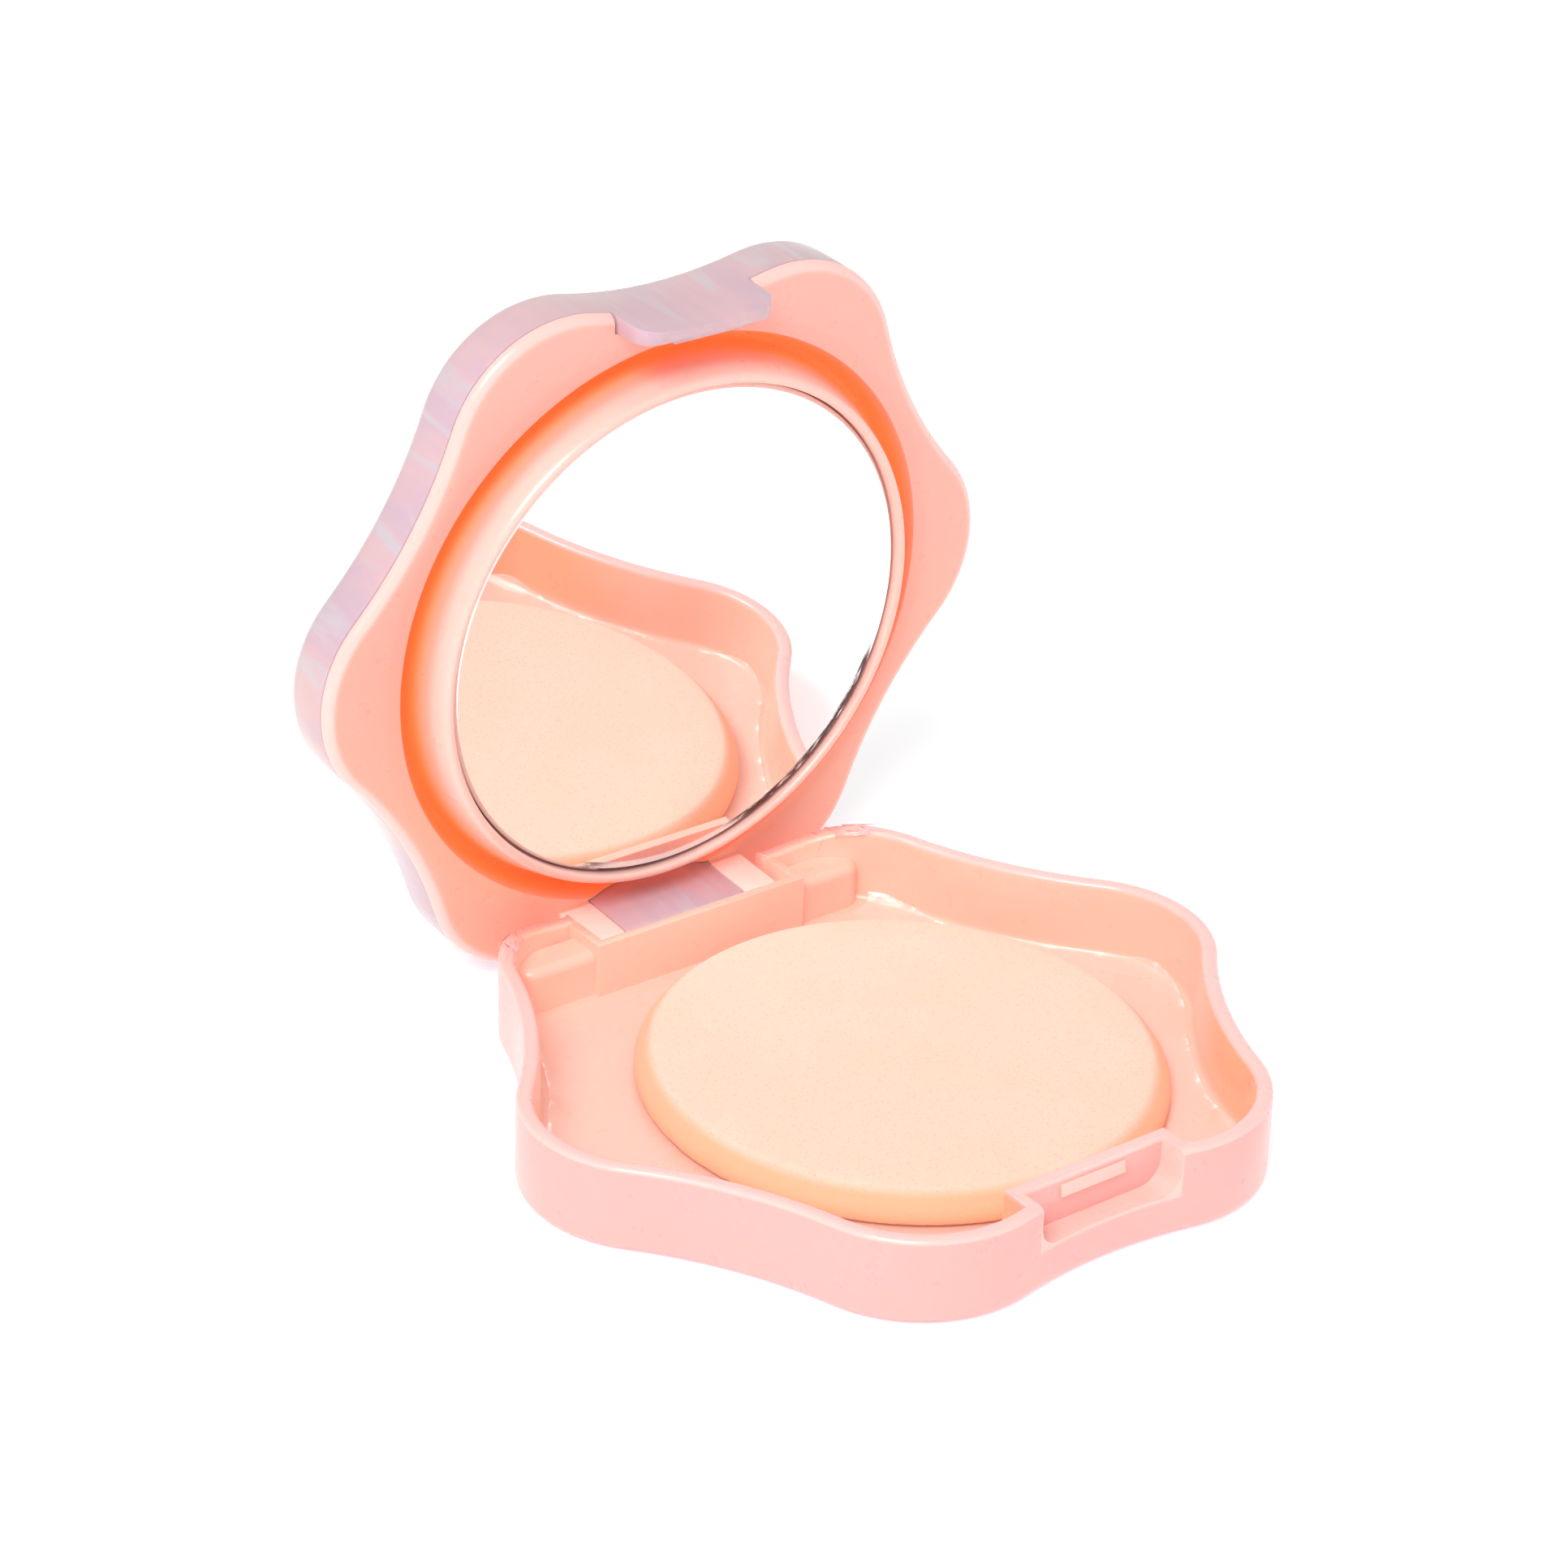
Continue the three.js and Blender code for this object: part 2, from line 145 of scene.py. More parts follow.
def lobed_ring(inset, height):
    """Draws one six-lobed ring, moved inwards by inset."""
    radius = LOBE_R - inset
    bpy.ops.mesh.primitive_circle_add(
        vertices=3,
        radius=radius * MM,
        location=(LOBE_CENTRE * MM, 0, height * MM),
        rotation=(0, 0, -TANGENT - math.pi / 2),
    )
    bpy.ops.mesh.select_all(action="DESELECT")
    bm = bmesh.from_edit_mesh(bpy.context.object.data)
    start = Vector((LOBE_CENTRE + radius * math.cos(TANGENT), -radius * math.sin(TANGENT), height))
    for vertex in bm.verts:
        vertex.select_set((vertex.co / MM - start).length > radius / 2)
    bmesh.update_edit_mesh(bpy.context.object.data)
    bpy.ops.mesh.delete(type="VERT")
    bpy.ops.mesh.select_all(action="SELECT")
    spin((LOBE_CENTRE, 0, height), 2 * TANGENT, LOBE_STEPS)
    waist = (WAIST_CENTRE * math.cos(SIXTH / 2), WAIST_CENTRE * math.sin(SIXTH / 2), height)
    spin(waist, SIXTH - 2 * TANGENT, WAIST_STEPS)
    bpy.ops.mesh.select_all(action="SELECT")
    spin((0, 0, height), 5 * SIXTH, 5, copies=True)
    bpy.ops.mesh.select_all(action="SELECT")
    bpy.ops.mesh.remove_doubles(threshold=1e-3 * MM)


def round_ring(radius, height):
    """Draws one round ring with as many vertices as a lobed one, so that the two can be bridged."""
    bpy.ops.mesh.primitive_circle_add(
        vertices=6 * (LOBE_STEPS + WAIST_STEPS), radius=radius * MM, location=(0, 0, height * MM)
    )


# %% [markdown]
# ## From rings to a closed shell
# Most pieces of the compact are the same idea: a stack of rings, each a little further in, out, up
# or down, with faces between neighbours. `loft` draws the rings, joins them into one mesh, bridges
# each to the next and fills the two ends, which gives a closed wall with clean quads. A vertex
# group remembers which vertices belong to which ring. A bridge between two rings at the same height
# can pair their vertices the wrong way round, so the rings are drawn well apart, like a stretched
# spring, and each one moves to its true height when the faces are made.

# %% Shell helpers
def select_rings(*numbers):
    bpy.ops.mesh.select_all(action="DESELECT")
    for number in numbers:
        bpy.ops.object.vertex_group_set_active(group=f"ring_{number}")
        bpy.ops.object.vertex_group_select()


RING_GAP = 5.0


def loft(name, rings):
    """A closed shell through rings, each (ring function, inset or radius, height) in mm."""
    loops = []
    for number, (draw, size, height) in enumerate(rings):
        loops.append(new_piece(name))
        draw(size, number * RING_GAP)
        bpy.ops.mesh.select_all(action="SELECT")
        bpy.ops.object.vertex_group_assign_new()
        loops[-1].vertex_groups[-1].name = f"ring_{number}"
    make_active(loops[0])
    for loop in loops:
        loop.select_set(True)
    bpy.ops.object.join()
    piece = bpy.context.object
    piece.name = piece.data.name = name
    bpy.ops.object.mode_set(mode="EDIT")
    for number in range(1, len(rings)):
        select_rings(number - 1, number)
        bpy.ops.mesh.bridge_edge_loops()
    for end in (0, len(rings) - 1):
        select_rings(end)
        bpy.ops.mesh.edge_face_add()
    for number, (draw, size, height) in enumerate(rings):
        select_rings(number)
        bpy.ops.transform.translate(value=(0, 0, (height - number * RING_GAP) * MM))
    bpy.ops.mesh.select_all(action="SELECT")
    bpy.ops.mesh.normals_make_consistent(inside=False)
    end_edit()
    piece.vertex_groups.clear()
    return piece


def block(name, low, high):
    """A box between two corners in mm."""
    deselect()
    bpy.ops.mesh.primitive_cube_add(
        size=1,
        location=[(a + b) / 2 * MM for a, b in zip(low, high)],
        scale=[(b - a) * MM for a, b in zip(low, high)],
    )
    bpy.context.object.name = name
    bpy.ops.object.transform_apply(location=True, rotation=True, scale=True)
    return bpy.context.object


def bar_x(name, radius, x0, x1, y, z, vertices=64):
    """A round bar along X, in mm."""
    deselect()
    bpy.ops.mesh.primitive_cylinder_add(
        vertices=vertices,
        radius=radius * MM,
        depth=(x1 - x0) * MM,
        location=((x0 + x1) / 2 * MM, y * MM, z * MM),
        rotation=(0, math.pi / 2, 0),
    )
    bpy.context.object.name = name
    bpy.ops.object.transform_apply(location=True, rotation=True, scale=True)
    return bpy.context.object


def use_modifier(piece, kind, **settings):
    """Adds a modifier, sets it and applies it at once."""
    make_active(piece)
    modifier = piece.modifiers.new(kind.lower(), kind)
    for name, value in settings.items():
        setattr(modifier, name, value)
    bpy.ops.object.modifier_apply(modifier=modifier.name)


def combine(piece, tool, operation):
    """Joins the tool to the piece, cuts it away or keeps what they share; the tool is used up."""
    use_modifier(piece, "BOOLEAN", operation=operation, solver="EXACT", object=tool)
    bpy.data.objects.remove(tool, do_unlink=True)


def round_edges(piece, wanted, width, segments=4):
    """Rounds the edges that wanted(middle, direction) picks, with both given in mm."""
    make_active(piece)
    bpy.ops.object.mode_set(mode="EDIT")
    bpy.ops.mesh.select_mode(type="EDGE")
    bpy.ops.mesh.select_all(action="DESELECT")
    bm = bmesh.from_edit_mesh(piece.data)
    for edge in bm.edges:
        a, b = (vertex.co / MM for vertex in edge.verts)
        edge.select_set(wanted((a + b) / 2, (b - a).normalized()))
    bmesh.update_edit_mesh(piece.data)
    bpy.ops.mesh.bevel(offset=width * MM, segments=segments, affect="EDGES")
    end_edit()


def weld(piece, gap):
    """Joins points closer than a gap in mm: booleans and bevels leave slivers that shade badly."""
    edit_all(piece)
    bpy.ops.mesh.remove_doubles(threshold=gap * MM)
    bpy.ops.mesh.dissolve_degenerate(threshold=gap * MM)
    end_edit()


def soften(piece, width=0.14, angle=40, slivers=0.01):
    """Takes the knife edge off what the cuts left, then shades smoothly up to an angle.

    Points closer than slivers mm are merged first, and those closer than a fifth of that again
    afterwards. The tray passes 0, because merging its points leaves open edges.
    """
    if slivers:
        weld(piece, slivers)
    use_modifier(
        piece,
        "BEVEL",
        width=width * MM,
        segments=2,
        limit_method="ANGLE",
        angle_limit=math.radians(angle),
    )
    if slivers:
        weld(piece, slivers / 5)
    shade(piece, 35)


def report(piece):
    low = [min(v.co[i] for v in piece.data.vertices) / MM for i in range(3)]
    high = [max(v.co[i] for v in piece.data.vertices) / MM for i in range(3)]
    print(f"{piece.name}: {len(piece.data.polygons)} faces,",
          "x {:.1f}..{:.1f}, y {:.1f}..{:.1f}, z {:.1f}..{:.1f} mm".format(
              *(v for pair in zip(low, high) for v in pair)))


# %% [markdown]
# ## The tray
# The tray is one injection moulding: an outer wall, a rounded rim, an inner wall with a little
# draft so that it leaves the mould, and a floor with a small fillet all round. That is a stack of
# lobed rings. The hinge pocket, the two bosses that hold the pin and the latch pocket are then
# joined on and cut out, as a mould maker would add and remove steel. At the back the rim dips in a
# smooth cosine towards the hinge pocket; a block with that curve under it cuts the dip out.

# %% Tray wall and floor
TRAY_WALL = 1.72
FLOOR_TOP = 1.0
TRAY_RINGS = [
    (1.0, 0.0), (0.55, 0.06), (0.25, 0.22), (0.06, 0.48), (0.0, 0.8),
    (0.0, TRAY_TOP - 0.62), (0.05, TRAY_TOP - 0.38), (0.18, TRAY_TOP - 0.18),
    (0.38, TRAY_TOP - 0.06), (0.62, TRAY_TOP - 0.01), (TRAY_WALL / 2, TRAY_TOP),
    (TRAY_WALL - 0.62, TRAY_TOP - 0.01), (TRAY_WALL - 0.36, TRAY_TOP - 0.07),
    (TRAY_WALL - 0.16, TRAY_TOP - 0.22), (TRAY_WALL - 0.04, TRAY_TOP - 0.45),
    (TRAY_WALL, TRAY_TOP - 0.75),
    (TRAY_WALL + 0.14, FLOOR_TOP + 0.8), (TRAY_WALL + 0.2, FLOOR_TOP + 0.45),
    (TRAY_WALL + 0.4, FLOOR_TOP + 0.18), (TRAY_WALL + 0.65, FLOOR_TOP + 0.04),
    (TRAY_WALL + 0.95, FLOOR_TOP),
]
tray = loft("tray", [(lobed_ring, inset, height) for inset, height in TRAY_RINGS])
report(tray)

# %% Hinge pocket and latch pocket
POCKET_HALF = 12.0
POCKET_FRONT = 30.2
POCKET_TOP = 6.95
POCKET_FLOOR = 1.05
NOTCH_HALF = 8.5
NOTCH_FLOOR = 4.4
NOTCH_BACK = -32.6
NOTCH_WALL = 1.2
FAR = 60.0
FITTING_LOW = 0.5
FITTING_BACK = 34.6
BOSS_END = 21.6
BOSS_TOP = 5.8
PIN_R = 0.75
PIN_HOLE_R = PIN_R + 0.1


def mirrored_x(piece, name):
    """A copy on the other side of the YZ plane, with its normals put right."""
    make_active(piece)
    bpy.ops.object.duplicate()
    twin = bpy.context.object
    twin.name = name
    edit_all(twin)
    bpy.ops.transform.resize(value=(-1, 1, 1), center_override=(0, 0, 0))
    bpy.ops.mesh.normals_make_consistent(inside=False)
    end_edit()
    return twin


def pin_boss():
    """A bar with a round end and round top edges, which holds one end of the hinge pin."""
    boss = block("boss", (POCKET_HALF + 0.4, 29.9, FITTING_LOW), (BOSS_END, 34.5, BOSS_TOP))
    round_edges(boss, lambda m, d: m.x > BOSS_END - 0.6 and abs(d.z) > 0.9, 2.2, 10)
    round_edges(boss, lambda m, d: m.z > BOSS_TOP - 0.1 and m.x > POCKET_HALF + 0.5, 1.1, 6)
    return boss


pocket = block(
    "pocket",
    (-POCKET_HALF - 1, POCKET_FRONT - 1, FITTING_LOW),
    (POCKET_HALF + 1, FITTING_BACK, POCKET_TOP),
)
right_boss = pin_boss()
left_boss = mirrored_x(right_boss, "left_boss")
notch_wall = block(
    "notch_wall",
    (-NOTCH_HALF - NOTCH_WALL, -FITTING_BACK, FITTING_LOW),
    (NOTCH_HALF + NOTCH_WALL, NOTCH_BACK + NOTCH_WALL, TRAY_TOP - 0.03),
)
for fitting in (pocket, right_boss, left_boss, notch_wall):
    combine(tray, fitting, "UNION")

opening = block("opening", (-POCKET_HALF, POCKET_FRONT, POCKET_FLOOR), (POCKET_HALF, FAR, FAR))
combine(tray, opening, "DIFFERENCE")

DIP_START, DIP_END, DIP_LOW, DIP_FRONT = 12.5, 24.5, 7.0, 28.0
DIP_STEPS = 24
DIP_RISE = TRAY_TOP + 0.02 - DIP_LOW
dip = block("dip", (-DIP_END, DIP_FRONT, DIP_LOW), (DIP_END, FAR, 20.0))
edit_all(dip)
for step in range(DIP_STEPS):
    for side in (-1, 1):
        reach = DIP_START + (DIP_END - DIP_START) * step / DIP_STEPS
        bpy.ops.mesh.select_all(action="SELECT")
        bpy.ops.mesh.bisect(plane_co=(side * reach * MM, 0, 0), plane_no=(1, 0, 0))
end_edit()
for vertex in dip.data.vertices:
    along = (abs(vertex.co.x) / MM - DIP_START) / (DIP_END - DIP_START)
    if vertex.co.z / MM < DIP_LOW + 0.1 and along > 0:
        vertex.co.z += DIP_RISE * MM * (1 - math.cos(math.pi * along)) / 2
combine(tray, dip, "DIFFERENCE")


def on_dip_edge(middle, direction):
    """The two long edges that the dip left along the rim."""
    along = (abs(middle.x) - DIP_START) / (DIP_END - DIP_START)
    level = DIP_LOW + DIP_RISE * (1 - math.cos(math.pi * along)) / 2
    flush = abs(middle.z - level) < 0.06 and 0 < along < 0.8
    return flush and abs(direction.x) > 0.4 and middle.y > 30.0


round_edges(tray, on_dip_edge, 0.45, 4)

combine(tray, bar_x("pin_hole", PIN_HOLE_R, -19.7, FAR, PIN_Y, PIN_Z), "DIFFERENCE")

notch = block("notch", (-NOTCH_HALF, -FAR, NOTCH_FLOOR), (NOTCH_HALF, NOTCH_BACK, FAR))
round_edges(notch, lambda m, d: m.z < NOTCH_FLOOR + 0.1 and abs(d.y) > 0.9, 2.4, 10)
combine(tray, notch, "DIFFERENCE")

CATCH_HALF, CATCH_LOW, CATCH_HIGH = 3.9, 7.0, 8.3
CATCH_FRONT = NOTCH_BACK - 0.45
CATCH_TOP_FRONT = NOTCH_BACK - 0.25
catch_bar = block(
    "catch_bar",
    (-CATCH_HALF, CATCH_FRONT, CATCH_LOW),
    (CATCH_HALF, NOTCH_BACK + 0.6, CATCH_HIGH),
)
for vertex in catch_bar.data.vertices:
    if vertex.co.z > (CATCH_HIGH - 0.1) * MM and vertex.co.y < NOTCH_BACK * MM:
        vertex.co.y = CATCH_TOP_FRONT * MM
round_edges(catch_bar, lambda m, d: m.y < NOTCH_BACK, 0.14, 3)
combine(tray, catch_bar, "UNION")
soften(tray, slivers=0)
report(tray)

# %% [markdown]
# ## Opening the lid
# The lid's pieces are drawn with the lid shut, because there everything is level and square. Each
# one is then turned about the hinge pin to where the open lid holds it. With no window the rotate
# operator turns the other way and ignores the pivot, so it gets its centre, and the printed box is
# compared with the frame's node to prove that the piece went the right way.

# %% Swing a piece open
def swing_open(piece, node):
    edit_all(piece)
    bpy.ops.transform.rotate(
        value=OPEN_ANGLE, orient_axis="X", center_override=(0, PIN_Y * MM, PIN_Z * MM)
    )
    end_edit()
    low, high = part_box(node)
    off = [
        max(abs(min(v.co[i] for v in piece.data.vertices) - low[i]),
            abs(max(v.co[i] for v in piece.data.vertices) - high[i])) / MM
        for i in range(3)
    ]
    print(f"{piece.name} stands within {max(off):.2f} mm of its node's box")


MIDDLE_HALF = 7.5
SIDE_NEAR, SIDE_FAR = 7.7, 11.5
KNUCKLE_IN = 2.16
KNUCKLE_OUT = 1.84


def hinge_knuckle(x0, x1, top):
    """A hinge tongue between x0 and x1: round below the pin and straight up to top, in mm."""
    low = (x0, PIN_Y - KNUCKLE_IN, PIN_Z - KNUCKLE_IN)
    knuckle = block("knuckle", low, (x1, PIN_Y + KNUCKLE_OUT, top))
    round_edges(knuckle, lambda m, d: abs(d.x) > 0.9 and m.z < 2 and m.y < PIN_Y, 2.0, 10)
    round_edges(knuckle, lambda m, d: abs(d.x) > 0.9 and m.z < 2 and m.y > PIN_Y + 1.5, 1.5, 8)
    return knuckle


# %% [markdown]
# ## The lid's outer shell
# The shell is a clear moulding over a pearl sheet: a thin wall with a rounded top edge. It carries
# the latch tab in front and the middle knuckle behind. The cap is again a stack of lobed rings, up
# the outside and down the inside. The tab must follow the lid's curved outline, so a plain block
# with two round corners is cut down to the outline with an intersect boolean.

# %% Lid shell
FACE_Z = 9.31
LID_TOP = 16.4
FRAME_TOP = FACE_Z + 1.2
WALL_LOW = FRAME_TOP + 0.08
SHELL_WALL = 0.8
SHELL_RINGS = [
    (1.9, LID_TOP - 1.1), (1.2, LID_TOP - 1.16), (0.9, LID_TOP - 1.35), (SHELL_WALL, LID_TOP - 1.7),
    (SHELL_WALL, WALL_LOW + 0.2), (0.72, WALL_LOW + 0.06), (0.56, WALL_LOW), (0.24, WALL_LOW),
    (0.08, WALL_LOW + 0.06), (0.0, WALL_LOW + 0.2), (0.0, LID_TOP - 1.3), (0.06, LID_TOP - 0.9),
    (0.24, LID_TOP - 0.52), (0.52, LID_TOP - 0.24), (0.86, LID_TOP - 0.08),
    (1.3, LID_TOP - 0.01), (2.4, LID_TOP),
]
lid_shell = loft("lid_shell", [(lobed_ring, inset, height) for inset, height in SHELL_RINGS])

TAB_HALF = 8.2
TAB_LOW = 5.0
TAB_BACK = -34.0
latch_tab = block("latch_tab", (-TAB_HALF, -FAR, TAB_LOW), (TAB_HALF, TAB_BACK, WALL_LOW + 1.0))
round_edges(latch_tab, lambda m, d: m.z < TAB_LOW + 0.1 and abs(d.y) > 0.9, 2.4, 10)
hinge_web = block(
    "hinge_web", (-MIDDLE_HALF, PIN_Y, FACE_Z - 0.5), (MIDDLE_HALF, FAR, WALL_LOW + 1.0)
)
for fitting in (latch_tab, hinge_web):
    column = loft("column", [(lobed_ring, 0.02, 0.0), (lobed_ring, 0.02, 15.0)])
    combine(fitting, column, "INTERSECT")
    combine(lid_shell, fitting, "UNION")
hook = block("hook", (-4.0, TAB_BACK - 0.5, 5.6), (4.0, TAB_BACK + 0.75, 6.6))
round_edges(hook, lambda m, d: m.y > TAB_BACK + 0.7, 0.25, 3)
combine(lid_shell, hook, "UNION")
combine(lid_shell, hinge_knuckle(-MIDDLE_HALF, MIDDLE_HALF, FACE_Z + 1.6), "UNION")
combine(lid_shell, bar_x("pin_hole", PIN_HOLE_R, -FAR, FAR, PIN_Y, PIN_Z), "DIFFERENCE")
soften(lid_shell, width=0.12)
report(lid_shell)
swing_open(lid_shell, "lid_outer_shell")

# %% [markdown]
# ## The pearl sheet
# The shimmer is a printed sheet laid under the clear top. It is thin, so it never lies dead flat:
# a faint ripple, written as two slow sine waves, lets its colours break up the light.

# %% Pearl sheet
PEARL_LOW = LID_TOP - 1.5
PEARL_RINGS = [
    (9.0, 0.0), (3.0, 0.0), (1.1, 0.0), (1.02, 0.04), (1.0, 0.1), (1.02, 0.16),
    (1.1, 0.2), (3.0, 0.2), (9.0, 0.2),
]
pearl_sheet = loft(
    "pearl_sheet", [(lobed_ring, inset, PEARL_LOW + up) for inset, up in PEARL_RINGS]
)
edit_all(pearl_sheet)
bpy.ops.mesh.quads_convert_to_tris()
end_edit()
for vertex in pearl_sheet.data.vertices:
    x, y = vertex.co.x / MM, vertex.co.y / MM
    vertex.co.z -= 0.06 * MM * (1 + math.sin(x / 4.0 + y / 9.0)) * (1 + math.cos(y / 6.0)) / 2
shade(pearl_sheet, 35)
report(pearl_sheet)
swing_open(pearl_sheet, "lid_pearl_film")

# %% [markdown]
# ## The inner frame
# The coral part of the lid does three jobs: its face closes against the tray, a deep V groove
# makes a shadow line, and a raised lip holds the mirror. A lathe would make only the round part,
# but the same stack of rings can pass from a round ring to a lobed one, because both have the same
# number of vertices. It starts at the mirror's seat, goes over the lip, down the groove, across the
# face, round the edge, and back behind to close.

# %% Inner frame
LIP_TOP = 6.15
SEAT_Z = 8.7
LIP_AND_GROOVE = [
    (27.1, SEAT_Z), (27.28, SEAT_Z - 0.08), (27.3, SEAT_Z - 0.4), (27.3, 6.6), (27.34, 6.42),
    (27.45, 6.25), (27.6, 6.17), (27.8, LIP_TOP), (28.0, 6.2), (28.2, 6.38), (28.36, 6.68),
    (28.55, 7.2), (28.78, 8.0), (29.05, 8.9), (29.4, 10.1), (29.75, 11.2), (29.95, 11.7),
    (30.2, 11.9), (30.42, 11.7), (30.7, 11.2), (31.1, 10.45), (31.4, 9.85), (31.55, 9.5),
    (31.64, 9.36), (31.8, FACE_Z),
]
FACE_EDGE = [
    (1.3, 0.0), (0.95, 0.03), (0.62, 0.13), (0.35, 0.31), (0.15, 0.55), (0.04, 0.8),
    (0.0, 1.0), (0.03, 1.12), (0.14, 1.2), (0.7, 1.2),
]
FRAME_BACK = [
    (32.8, 10.52), (32.6, 11.0), (31.9, 12.1), (31.2, 12.75), (30.6, 12.9), (29.9, 12.9),
    (29.3, 12.7), (28.6, 12.0), (28.2, 10.8), (27.9, 10.0), (27.4, 9.6), (26.5, 9.6),
]
mirror_frame = loft(
    "mirror_frame",
    [(round_ring, radius, height) for radius, height in LIP_AND_GROOVE]
    + [(lobed_ring, inset, FACE_Z + up) for inset, up in FACE_EDGE]
    + [(round_ring, radius, height) for radius, height in FRAME_BACK],
)
for side in (-1, 1):
    x0, x1 = sorted((side * SIDE_NEAR, side * SIDE_FAR))
    combine(mirror_frame, hinge_knuckle(x0, x1, FACE_Z - 0.2), "UNION")
    neck = block("neck", (x0, PIN_Y - KNUCKLE_IN, FACE_Z - 0.4), (x1, 34.9, FACE_Z + 0.6))
    combine(mirror_frame, neck, "UNION")
web_room = block(
    "web_room", (-SIDE_NEAR, PIN_Y - KNUCKLE_IN - 0.2, 0.0), (SIDE_NEAR, FAR, FACE_Z + 1.8)
)
tab_room = block("tab_room", (-TAB_HALF - 0.2, -FAR, 0.0), (TAB_HALF + 0.2, TAB_BACK + 0.2, FAR))
pin_room = bar_x("pin_room", PIN_HOLE_R, -FAR, FAR, PIN_Y, PIN_Z)
for tool in (web_room, tab_room, pin_room):
    combine(mirror_frame, tool, "DIFFERENCE")
soften(mirror_frame, width=0.12, angle=50)
report(mirror_frame)
swing_open(mirror_frame, "lid_inner_frame")

# %% [markdown]
# ## The mirror and its foam tape
# The mirror is float glass, silvered behind, with a fine ground edge. A real one has two surfaces,
# but they lie so close that one polished metal face looks the same and renders cleanly. The flat
# face stays one polygon with sharp borders, because smoothing it into the bevel would bend the
# reflection. The ground edge and the painted back get their own material later.

# %% Mirror and tape
MIRROR_R = 27.1
MIRROR_Z = 6.8
MIRROR_RINGS = [
    (MIRROR_R - 0.42, MIRROR_Z), (MIRROR_R - 0.12, MIRROR_Z + 0.26), (MIRROR_R, MIRROR_Z + 0.4),
    (MIRROR_R, MIRROR_Z + 1.1), (MIRROR_R - 0.1, MIRROR_Z + 1.24), (MIRROR_R - 0.3, MIRROR_Z + 1.3),
]
mirror_plate = loft("mirror_plate", [(round_ring, size, height) for size, height in MIRROR_RINGS])
shade(mirror_plate, 25)
report(mirror_plate)

TAPE_RINGS = [
    (20.6, 8.25), (20.9, 8.27), (21.0, 8.33), (20.92, 8.4),
    (21.0, 8.47), (20.9, 8.53), (20.6, 8.55),
]
foam_tape = loft("foam_tape", [(round_ring, size, height) for size, height in TAPE_RINGS])
shade(foam_tape, 35)
report(foam_tape)

GLASS_FACE = [face.index for face in mirror_plate.data.polygons
              if len(face.vertices) > 50 and face.center.z < (MIRROR_Z + 0.1) * MM]
swing_open(mirror_plate, "mirror_glass")
swing_open(foam_tape, "mirror_adhesive_pad")
print("mirror face polygons:", GLASS_FACE)

# %% [markdown]
# ## The hinge pin
# A steel wire cut to length, chamfered at both ends, with a short splined grip at one end that
# bites into the plastic. The splines are every other edge of the cylinder, pushed out a little.

# %% Hinge pin
PIN_LENGTH = 39.2
PIN_SIDES = 48
PIN_END = PIN_LENGTH / 2
SPLINE = 0.05
hinge_rod = bar_x("hinge_rod", PIN_R, -PIN_END, PIN_END, PIN_Y, PIN_Z, PIN_SIDES)
edit_all(hinge_rod)
for from_end in (3.6, 3.2, 1.0, 0.6):
    bpy.ops.mesh.select_all(action="SELECT")
    bpy.ops.mesh.bisect(plane_co=((PIN_END - from_end) * MM, 0, 0), plane_no=(1, 0, 0))
end_edit()
for vertex in hinge_rod.data.vertices:
    grip = PIN_END - 3.3 < vertex.co.x / MM < PIN_END - 0.9
    turn = math.atan2(vertex.co.z / MM - PIN_Z, vertex.co.y / MM - PIN_Y)
    if grip and round(turn / (2 * math.pi / PIN_SIDES)) % 2:
        vertex.co.y += SPLINE * MM * math.cos(turn)
        vertex.co.z += SPLINE * MM * math.sin(turn)
round_edges(hinge_rod, lambda m, d: abs(m.x) > PIN_END - 0.01, 0.16, 3)
shade(hinge_rod, 35)
report(hinge_rod)

# %% [markdown]
# ## The clear film on the floor
# A clear sheet cut to the bowl's shape lies on the floor, and its edge curls up where it meets the
# wall. It is lofted as a thin closed lens of rings, so that it has a real thickness to catch the
# light, and then lifted near its edge by a wave that changes from lobe to lobe. `noise` gives the
# same wave every run.

# %% Clear film
FILM_INSET = 2.7
FILM_UNDER = 1.03
FILM_THICK = 0.12
CURL_REACH = 2.6
CURL_HEIGHT = 1.3
FLAP_AT_DEGREES = 160.0
FLAP_HEIGHT = 3.0
FILM_STEPS = [12.0, 8.0, 5.5, 4.2, 3.4, 2.8, 2.4, 2.2, 2.1]
film_rings = [(FILM_INSET - 2.05 + step, FILM_UNDER + FILM_THICK) for step in FILM_STEPS]
film_rings += [(FILM_INSET, FILM_UNDER + FILM_THICK / 2)]
film_rings += [(FILM_INSET - 2.05 + step, FILM_UNDER) for step in reversed(FILM_STEPS)]
floor_film = loft("floor_film", [(lobed_ring, inset, height) for inset, height in film_rings])


def outline_depth(x, y):
    """How far a point in mm lies inside the lobed outline."""
    turn = math.atan2(y, x) % SIXTH
    reach = math.hypot(x, y)
    if turn > SIXTH / 2:
        turn = SIXTH - turn
    px, py = reach * math.cos(turn), reach * math.sin(turn)
    qx, qy = WAIST_CENTRE * math.cos(SIXTH / 2), WAIST_CENTRE * math.sin(SIXTH / 2)
    if math.atan2(py, px - LOBE_CENTRE) < TANGENT:
        return LOBE_R - math.hypot(px - LOBE_CENTRE, py)
    return math.hypot(px - qx, py - qy) - WAIST_R


